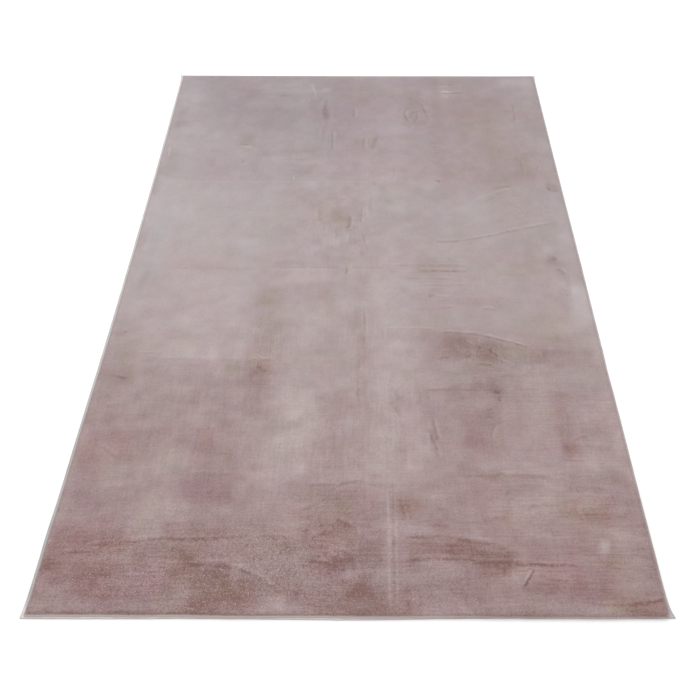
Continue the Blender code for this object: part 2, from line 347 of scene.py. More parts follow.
# Soft areas: middle, half sizes, how sharp their edges are, what they add, and degrees they are
# turned. Rose runs from olive below 0 to rose above it.
areas = rowsOf({"x": 1000, "y": 1000, "across": 1000, "along": 1000, "sharp": 1, "shade": 1000,
                "warmth": 100, "rose": 10, "speckle": 100, "turn": 1}, [
    # pale left side
    (-770, 550, 90, 700, 3, -120), (-500, 100, 200, 460, 5, -60, -5), (-500, -200, 170, 185, 8, -50),
    (-680, -120, 80, 170, 5, -20, -5), (-730, 180, 60, 300, 4, -30, -25, -4),
    (-600, 250, 60, 140, 2, -30, 0, -3), (-500, -365, 100, 22, 3, -20, 10, -2),
    (-720, -330, 35, 50, 2, 20, 25, -3), (-725, -70, 12, 50, 2, 120, 10, -2), (-440, 200, 40, 30, 2, 30),
    (-460, 50, 40, 35, 3, 30, 30, -4), (-580, 0, 80, 30, 2, 60, 25, 2), (-180, 130, 35, 55, 3, -80, 0, 1),
    (-330, 200, 40, 80, 2, 20, 10, -4),
    # back left
    (-560, 490, 65, 75, 4, 60, -10, 2), (-420, 500, 90, 70, 4, 30, -10, 1),
    (-250, 480, 90, 40, 3, 50, 5, -1), (-210, 490, 35, 25, 3, 70, 0, -2), (-280, 555, 70, 14, 3, 30, 5),
    (-30, 490, 90, 60, 4, 30, -15, 2), (-620, 660, 120, 100, 3, -30, -15, 1),
    (-380, 820, 120, 80, 5, 70, -10), (-540, 970, 90, 120, 3, 50, -20, 2),
    (-450, 1010, 35, 28, 3, 90, 15, -3), (-445, 680, 28, 35, 3, 130, 40, -3),
    (-710, 980, 20, 50, 2, -60, -20, 1), (-680, 1090, 70, 50, 3, 60, -10),
    (-300, 1070, 120, 40, 3, -40, -10, -2), (-330, 1100, 350, 20, 4, 20, 0, 1),
    (-660, 915, 30, 25, 2, 40, 15, -4), (-60, 920, 45, 210, 5, 60, -10, 3),
    (-137, 865, 19, 50, 4, 160, 5, 1), (-140, 1035, 20, 25, 2, -80, -10), (-210, 860, 30, 50, 2, 0, -20, 4),
    (-170, 630, 60, 20, 2, 50, 10, -3), (-300, 610, 40, 15, 2, 50, 15, -4),
    (-735, 560, 20, 60, 2, 100, 20, -4, 0, 10), (-755, 790, 22, 60, 2, 140, 10, -2, 0, 6),
    # back right
    (40, 1040, 50, 40, 2, 50, 25, -2), (0, 970, 50, 80, 2, 40, 15, 3), (160, 1080, 90, 40, 3, -10, -20),
    (160, 760, 80, 70, 3, -60, -15, -2), (50, 840, 60, 60, 3, -10, -25, 2),
    (230, 850, 35, 50, 3, 60, 10, -2, 10), (340, 1100, 120, 30, 3, 50, 5),
    (470, 920, 170, 180, 4, 50, 12, 1), (550, 720, 120, 240, 3, 40, 22, -1),
    (420, 860, 80, 40, 2, 40, 15, 5), (350, 760, 40, 70, 2, 10, 0, 5), (650, 750, 60, 80, 3, -40, -5, 1),
    (710, 850, 70, 80, 3, 0, 10), (700, 1085, 90, 35, 4, -120, 0, -1), (655, 1095, 20, 15, 2, -60),
    (760, 900, 35, 200, 3, -40, 5, -2), (655, 530, 32, 65, 3, 90, 30, -5), (550, 460, 70, 70, 3, 60, 5, -1),
    (400, 520, 90, 100, 4, 40, 0, 2), (350, 490, 25, 30, 2, 40, 30, -5), (570, 640, 40, 30, 2, 30, 20, -3),
    (752, 397, 26, 22, 4, 140, 0, -3), (720, 540, 20, 50, 2, 20, 0, 5),
    # middle
    (-90, 265, 70, 55, 3, 90, 40, -1), (-40, 200, 50, 50, 3, 140, 25, 2), (-195, 345, 30, 35, 3, 50, 15, 6),
    (-170, 410, 60, 45, 3, -100, -5), (160, 300, 40, 50, 2, -30, 0, -5), (120, 470, 40, 35, 3, -120, -15),
    (450, 260, 50, 80, 3, -60, -5, -1), (240, 410, 50, 25, 3, -110, -10, -1),
    (600, 290, 80, 100, 3, 30, 15, -1), (750, 290, 40, 60, 3, -40, -10, -2), (545, 45, 45, 35, 3, 40, -5, 9),
    (410, 60, 50, 45, 2, -30, 25, -1), (670, 120, 30, 60, 2, 40, 15, -2), (700, 30, 20, 20, 3, 200, 10),
    (600, -30, 80, 45, 3, 60, 35, 1), (720, -50, 12, 35, 3, 70, 0, 3), (755, -170, 35, 85, 4, -220, -10, -2),
    (350, -170, 80, 35, 3, 40, 5, 6), (260, -10, 80, 35, 2, 80, 30), (280, -250, 55, 45, 3, 90, 5),
    (-295, -150, 45, 40, 4, 120, 45, 0, 10), (-280, -260, 60, 100, 4, 90, 10),
    (-270, -370, 70, 50, 3, 50, 10, 1, 10), (-100, -150, 30, 40, 3, 120, 30, 2),
    (-90, -200, 30, 30, 2, 30, 30, -4), (-150, -270, 50, 120, 3, -50, -10, -1), (130, -400, 65, 400, 5, -80),
    (20, -350, 30, 140, 2, 40, 5, 2), (570, -240, 35, 30, 3, 40, 35, -6), (650, -270, 35, 50, 2, 40, 35, 1),
    (660, -200, 50, 80, 3, 30, 10, 2),
    # dark wedge at the right
    (370, -345, 100, 50, 4, 220, 15, 0, 20, -8), (325, -340, 40, 48, 4, 200, 15, 4, 10),
    (350, -325, 22, 20, 3, 100, 30, 1), (410, -372, 40, 26, 3, 80, 20, 4, 20, -15),
    (500, -370, 75, 30, 4, 40, 15, -1, 10, -18), (595, -370, 35, 45, 3, 140, 20, 4, 10),
    (710, -400, 50, 35, 3, 140, 15, 2), (430, -490, 28, 30, 3, 180, -15, 3, 10),
    (350, -495, 120, 16, 4, 60, 5), (340, -430, 40, 30, 4, 20, 5, -6),
    (440, -550, 180, 180, 4, 60, 5, 1, 10), (360, -635, 45, 85, 4, 150, 10, 6, 10),
    (360, -670, 25, 30, 2, 80, 15, 3), (625, -610, 30, 100, 3, 130, 20, 6, 10),
    (630, -700, 35, 25, 3, 70, 10, 4), (760, -600, 40, 180, 3, -20, 0, 1), (520, -660, 40, 70, 3, -80, 5, 1),
    (500, -765, 60, 20, 3, -80, 10, -2),
    # lower left
    (-720, -450, 50, 40, 4, 100, 15, 0, 10), (-700, -455, 20, 20, 2, 140, 10, 2, 10),
    (-560, -600, 300, 200, 8, 75, 2, 0, 10), (-540, -505, 45, 22, 3, -130, 5, -2),
    (-430, -535, 60, 30, 3, 100, 10), (-375, -420, 25, 30, 3, 100, 20, -4),
    (-460, -415, 50, 35, 3, -90, -5, 4), (-285, -425, 40, 35, 3, 170, 15, 3, 20),
    (-300, -500, 40, 100, 4, 100, 15, 0, 10), (-690, -700, 90, 60, 4, 110, 25, 5, 10),
    (-660, -710, 20, 30, 2, 50, 20, 5), (-750, -640, 30, 30, 3, -60, -30, 5),
    (-400, -690, 50, 80, 3, 60, 10, 4, 10), (-410, -660, 20, 30, 2, 60, 25, 2),
    (-390, -820, 75, 38, 6, 90, -10, 8, 10), (-420, -800, 35, 18, 3, 60, 0, 4),
    (-730, -830, 65, 50, 3, 60, -10, 5, 10), (-740, -835, 22, 18, 2, 80, 0, 3),
    (-530, -725, 40, 60, 3, -140, 15, -2), (-475, -750, 25, 45, 3, -80, -15), (-630, -810, 60, 12, 3, -60),
    (-660, -775, 70, 20, 2, 0, 10, -5, 10), (-530, -880, 50, 70, 4, -80, 10, -3),
    (-240, -700, 60, 120, 3, -70, 5, -1), (-150, -590, 60, 90, 3, -200, 0, -3),
    (-160, -730, 80, 60, 4, -120, 5), (-50, -700, 40, 40, 2, 30, 20, -3, 10),
    (-40, -560, 30, 30, 2, 60, 0, 6), (90, -670, 45, 60, 4, -120, 0, -2),
    (190, -700, 50, 120, 3, -60, 5, -1),
    # front
    (-340, -885, 50, 35, 3, -80, 5, -2, 10), (-90, -860, 70, 45, 5, 70, 15, -1, 10),
    (-15, -865, 30, 30, 3, 70, 30, -5), (45, -840, 35, 30, 3, 60, -5, 5, 10),
    (-60, -940, 70, 35, 3, 90, 10, 3, 10), (-20, -1000, 60, 30, 3, 80, 10, 1, 20),
    (30, -1080, 35, 28, 4, 120, 15, 1, 10), (-90, -1110, 50, 25, 3, 90, 15, 1, 10),
    (-785, -970, 20, 30, 3, -150, 20), (-650, -940, 60, 45, 3, 90, 10, 8, 10),
    (-580, -1090, 80, 22, 3, 60, 10, 3, 10), (-730, -980, 60, 60, 4, 170, 15, 5, 10),
    (-640, -1050, 60, 50, 3, 110, 15, 7, 20), (-570, -1010, 22, 28, 3, -110, -5, -4),
    (-520, -1040, 55, 50, 4, -20, 0, 8, 20), (-430, -1020, 45, 50, 3, 180, 35, -3),
    (-340, -1080, 70, 45, 5, 160, 20, -1, 20, -6), (-250, -1100, 55, 30, 4, 100, 15, 0, 20, -20),
    (-220, -1020, 120, 75, 4, -90, 0, -2, 30), (-350, -1020, 300, 120, 3, 0, 0, 0, 40),
    (-190, -1115, 40, 22, 3, -180, 0, -2, 10), (-720, -1090, 60, 30, 3, -30, 5, 2, 10),
    (158, -866, 30, 22, 3, 120, 45, 2), (230, -975, 90, 25, 4, 70, 10, 3),
    (290, -975, 45, 18, 3, 110, 10, 2, 0, -8), (370, -1005, 60, 20, 4, 150, 10, 2, 0, -3),
    (220, -1118, 70, 22, 3, -100, 0, 3, 10), (370, -1040, 40, 40, 3, 140, 5, -1, 10),
    (560, -1050, 80, 45, 3, 70, 15, 7), (350, -840, 60, 50, 4, -30, 10, 5),
    (490, -885, 80, 45, 3, -120, 15, -2), (360, -785, 80, 22, 3, 120, 10, 1),
    (630, -885, 55, 30, 3, 150, 45), (710, -905, 45, 18, 3, 130, 15, 6), (650, -860, 100, 10, 3, 50, 20),
    (690, -945, 70, 30, 3, -100, 10, -1), (667, -968, 13, 19, 5, -240, -5, -2),
    (680, -1005, 90, 12, 3, -50, 35, -4), (550, -940, 60, 30, 2, -30, 0, -1, 0, 30),
    (700, -1120, 50, 20, 3, 20, 35, -7), (745, -1120, 45, 16, 3, 50, 20, 3),
    (600, -1100, 100, 20, 2, 30, 5, 3), (115, -970, 20, 190, 4, -60, 5, -2),
    (550, -1020, 260, 120, 4, -50, 5, 1, -35), (400, -930, 35, 60, 4, 40, 0, 0, -20),
    (250, 970, 35, 60, 3, 90, 10), (565, 580, 45, 70, 3, 80, 10), (660, 460, 70, 28, 3, 120, 15, 1),
    (350, 420, 40, 90, 3, 50, 0, 1), (0, 630, 100, 90, 4, 50), (-730, 550, 40, 50, 3, 60, 0, -2),
    (-160, -50, 120, 30, 3, -90), (150, 80, 50, 60, 3, -90), (-480, 110, 120, 30, 3, -40),
    (370, 990, 100, 40, 3, -60), (570, 1020, 60, 60, 3, -80), (-620, 700, 60, 100, 3, -50),
    (330, 550, 200, 300, 4, 20), (490, -1075, 40, 35, 4, 120, 5), (-630, -220, 60, 30, 3, 110, 10),
    (-350, -240, 40, 28, 3, 100, 10), (280, 890, 25, 22, 3, 120, 10, 1), (275, 800, 22, 22, 3, 100, 10, 1),
    (740, 800, 45, 100, 4, 60, 10, 1), (760, 660, 30, 35, 3, -100, -10, -1),
    (700, -730, 60, 28, 3, -160, 0, -1), (130, -715, 25, 28, 3, 120, 5, 1), (-160, 870, 45, 70, 3, 50, 5, 3),
    (20, 960, 50, 40, 3, 50, 5, 1), (-160, 35, 60, 20, 3, 50, 5), (150, -340, 80, 20, 3, -60),
    (-420, -610, 45, 22, 3, -90), (320, -980, 50, 20, 3, -60), (-50, 360, 35, 25, 3, 30, 30, 5),
    (580, -335, 160, 62, 4, 120, 10), (420, -405, 26, 50, 3, 120, 15), (300, -385, 50, 18, 3, 90, 10),
    (250, -300, 30, 28, 3, 100, 10), (420, -520, 28, 28, 3, 100, -5, 2), (420, -625, 28, 95, 4, 110, 10),
    (660, -525, 55, 20, 3, 140, 15, 2), (700, -640, 45, 32, 4, 120, 10, 1), (265, -620, 28, 60, 3, 70, 5),
    (440, -830, 90, 18, 3, 90, 10), (760, -790, 28, 30, 3, 100, 10, 2), (680, -1020, 28, 40, 3, 90, 10, 2),
    (170, -1120, 28, 15, 3, 160, 10), (-20, -1018, 75, 16, 3, 110, -15, 2, 0, 12),
    (-170, -980, 28, 18, 3, 120, 5), (-20, -925, 30, 15, 3, 140, 15), (-400, -915, 30, 28, 3, 100, 10),
    (-315, -1060, 18, 40, 3, 120, 10), (-350, -1128, 35, 18, 3, 120, 10),
    (-760, -1025, 30, 28, 3, 130, 10, 2), (-730, -765, 45, 50, 3, 110, 15, 3),
    (-650, -600, 75, 18, 3, 100, 10, 1), (-480, -560, 50, 35, 3, 70, 5), (-130, -492, 40, 18, 3, 100, 5),
    (-385, -410, 45, 28, 3, 80, 10), (-600, -350, 40, 28, 3, 60, 5), (-100, -420, 50, 28, 3, 70, 5),
    (160, -420, 40, 18, 3, 70, 5), (260, -465, 28, 18, 3, 80, 10), (-480, -20, 65, 28, 3, 80, 10),
    (-600, -100, 100, 75, 4, 60, 10), (-220, 0, 50, 18, 3, 100, 10), (-240, 140, 28, 30, 3, 80, 10),
    (30, 240, 20, 30, 3, 100, 15), (620, 60, 28, 60, 3, 100, 10), (500, 640, 28, 50, 3, 60, 5),
    (-770, 110, 14, 60, 3, 140, 10), (-770, 430, 14, 90, 3, 100, 10), (-720, 690, 40, 22, 3, 90, 10),
    (-760, 870, 28, 40, 3, 80, 5), (-560, 1080, 28, 30, 3, 60, 5), (-420, 985, 60, 18, 3, 60, 5),
    (-220, 612, 40, 15, 3, 70, 5), (-350, 595, 35, 18, 3, 60, 5), (200, 700, 40, 20, 3, 80, 10),
    (220, 810, 50, 30, 3, 70, 10), (370, 750, 35, 22, 3, 70, 10), (370, 890, 60, 35, 3, 50, 5),
    (-70, 650, 22, 100, 3, 50, 5), (470, -1118, 60, 16, 3, -80), (650, -866, 30, 18, 3, -120),
    (385, -880, 26, 30, 3, -130), (750, -890, 45, 35, 3, -90), (290, -1030, 55, 22, 3, -90),
    (120, -930, 90, 25, 3, -90), (10, -1055, 22, 20, 3, -150), (-30, -966, 22, 18, 3, -120),
    (170, -785, 30, 35, 3, -80), (60, -740, 36, 50, 3, -100), (-420, -1100, 36, 18, 3, -110),
    (-270, -880, 50, 28, 3, -70), (-140, -912, 28, 18, 3, -100), (-150, -755, 45, 30, 3, -80),
    (-550, -755, 38, 40, 3, -80), (-480, -375, 55, 28, 3, -110), (-270, -405, 35, 28, 3, -100),
    (-250, -205, 60, 35, 4, -70), (-120, -255, 55, 35, 4, -60), (60, -320, 26, 26, 3, -110),
    (170, -350, 35, 28, 3, -70), (-150, -70, 100, 20, 3, -80), (-380, 90, 40, 40, 4, -70),
    (230, -100, 40, 38, 4, -90), (720, -90, 40, 45, 4, -100), (690, 55, 20, 28, 3, -100),
    (760, 150, 28, 80, 3, -80), (520, -10, 28, 20, 3, -90), (380, 300, 60, 80, 4, -50),
    (210, 270, 80, 25, 4, -50), (0, 410, 28, 22, 3, -70), (-100, 502, 28, 20, 3, -120),
    (-250, 550, 110, 13, 3, -80, 0, 0, 0, -6), (440, 540, 20, 50, 3, -50), (-240, 1022, 120, 15, 3, -80),
    (730, 1050, 50, 60, 4, -50), (460, -1136, 90, 16, 4, -120), (240, -1138, 70, 14, 4, -180),
    (650, -1138, 60, 14, 4, -100), (-280, -330, 40, 240, 3, 20, 5, 0, 30),
    (20, -360, 14, 260, 3, 40, 5, 0, 30), (-740, -500, 30, 200, 3, 20, 5, 0, 20),
    (380, -560, 70, 180, 3, 0, 5, 0, 10), (-110, -755, 22, 35, 3, 130, 10),
    (-60, -595, 34, 18, 3, 110, 10, 0, 0, -20), (-160, -595, 26, 20, 3, -120),
    (-90, -650, 45, 18, 3, -100, 0, 0, 0, -35), (-100, -960, 30, 20, 3, 100, 10),
    (340, -755, 28, 22, 3, 120, 10), (220, -700, 30, 40, 3, -110), (420, -1020, 24, 45, 3, 90, 5),
    (130, -870, 35, 30, 3, 80, 5), (775, -350, 24, 50, 4, -130), (775, -690, 22, 40, 4, -130),
    (550, -325, 90, 18, 3, -70, 0, 0, 0, -8), (560, -408, 110, 16, 3, 100, 5), (500, -470, 50, 18, 3, 80, 5),
    (730, -510, 40, 26, 3, 90, 5), (370, -425, 50, 20, 3, 100, 10), (-360, -375, 24, 28, 3, -120),
    (-260, -480, 110, 18, 3, 90, 5), (-620, -450, 34, 20, 3, 90, 5), (-720, -390, 30, 20, 3, 100, 10),
    (-760, -298, 40, 12, 3, 100, 10), (-250, -45, 30, 22, 3, 90, 5), (460, -155, 60, 20, 3, 80, 5),
    (130, 325, 22, 22, 3, 90, 10), (80, 145, 30, 16, 3, 90, 10), (700, 5, 45, 18, 3, 80, 5),
    (550, 450, 110, 45, 4, 50, 5), (-740, 490, 50, 35, 4, 110, 5, 0, 0, -30), (-750, 780, 50, 25, 4, 80, 5),
    (360, 615, 30, 18, 3, 70, 5), (690, 590, 34, 18, 3, 80, 5), (-130, 475, 34, 35, 3, -70),
    (-660, 275, 40, 35, 4, -60), (-410, 245, 26, 50, 4, -60), (200, 960, 90, 60, 4, 40, 5),
    (20, 830, 60, 45, 4, 50, 5), (-450, 960, 80, 22, 4, 50, 5), (-700, -715, 60, 30, 3, -60),
    (-600, -900, 40, 30, 3, -70), (-570, -1075, 30, 20, 3, 90, 5), (-610, -1000, 50, 20, 3, -70),
    (-700, -1010, 30, 24, 3, -80), (-120, -1138, 130, 14, 4, -150), (-620, -972, 65, 24, 3, 120, 10),
    (0, -812, 36, 20, 3, 80, 5), (-30, -988, 30, 16, 3, -130), (-10, -1036, 50, 13, 3, 80, -15, 2),
    (120, -1045, 100, 18, 3, -90), (-285, -1045, 14, 42, 3, -120), (500, -1054, 110, 16, 3, -80),
    (490, -945, 50, 26, 3, -90), (300, -935, 35, 22, 3, -90), (740, -955, 30, 20, 3, -100),
    (-780, -930, 24, 40, 3, -100), (370, -495, 20, 45, 3, 100, 5), (30, -446, 50, 18, 3, -90),
    (-170, -640, 50, 18, 3, 90, 5), (-250, -330, 18, 55, 3, -90), (660, -275, 60, 22, 4, -80),
    (130, -560, 50, 30, 3, 60, 5), (-680, 450, 30, 18, 3, 70, 5), (-250, 920, 45, 50, 4, -60),
    (540, 770, 80, 22, 4, -50), (-370, -1124, 80, 12, 3, -30, 0, 1, 50), (440, -900, 50, 40, 3, 0, 20, -1),
    (-65, -1130, 22, 14, 3, 100, 40, 3), (255, -335, 40, 42, 4, 70, 10, 6), (360, -430, 50, 30, 3, 0, 10, 3),
    (625, -700, 22, 22, 4, 130, 40, 1), (-540, 1040, 140, 80, 3, 0, 0, 4),
])

# Where the nap shows fine marks: streaks along the rug, creases across it, and scribbles.
finely = rowsOf({"x": 100, "y": 100, "across": 100, "along": 100, "combed": 10, "creased": 10,
                 "scribbled": 10}, [
    (-5, 14, 14, 20, 11, 1, 7), (-8, 80, 10, 22, 9, 0, 3), (23, 86, 7, 8, 0, 0, 16),
    (20, 17, 14, 6, 0, 0, 8), (3, -35, 10, 26, 12, 0, 3), (-28, -32, 9, 16, 12, 2, 7),
    (-45, -62, 28, 22, 11, 2, 3), (30, -7, 14, 12, 0, 12, 2), (38, -36, 12, 6, 2, 8, 16),
    (45, -48, 20, 8, 2, 10, 5), (15, -58, 12, 12, 8, 0, 6), (-5, -70, 20, 14, 10, 2, 5),
    (-45, -103, 36, 13, 3, 13, 5), (-5, -98, 16, 17, 2, 10, 11), (35, -97, 28, 18, 1, 14, 5),
    (68, -90, 14, 30, 0, 12, 5), (60, 60, 20, 30, 6, 0, 2), (60, 30, 20, 12, 2, 4, 4),
    (-77, 40, 3, 75, 10, 0, 3), (-45, 45, 34, 50, 3, 1, 1), (65, -50, 16, 25, 5, 5, 4),
])

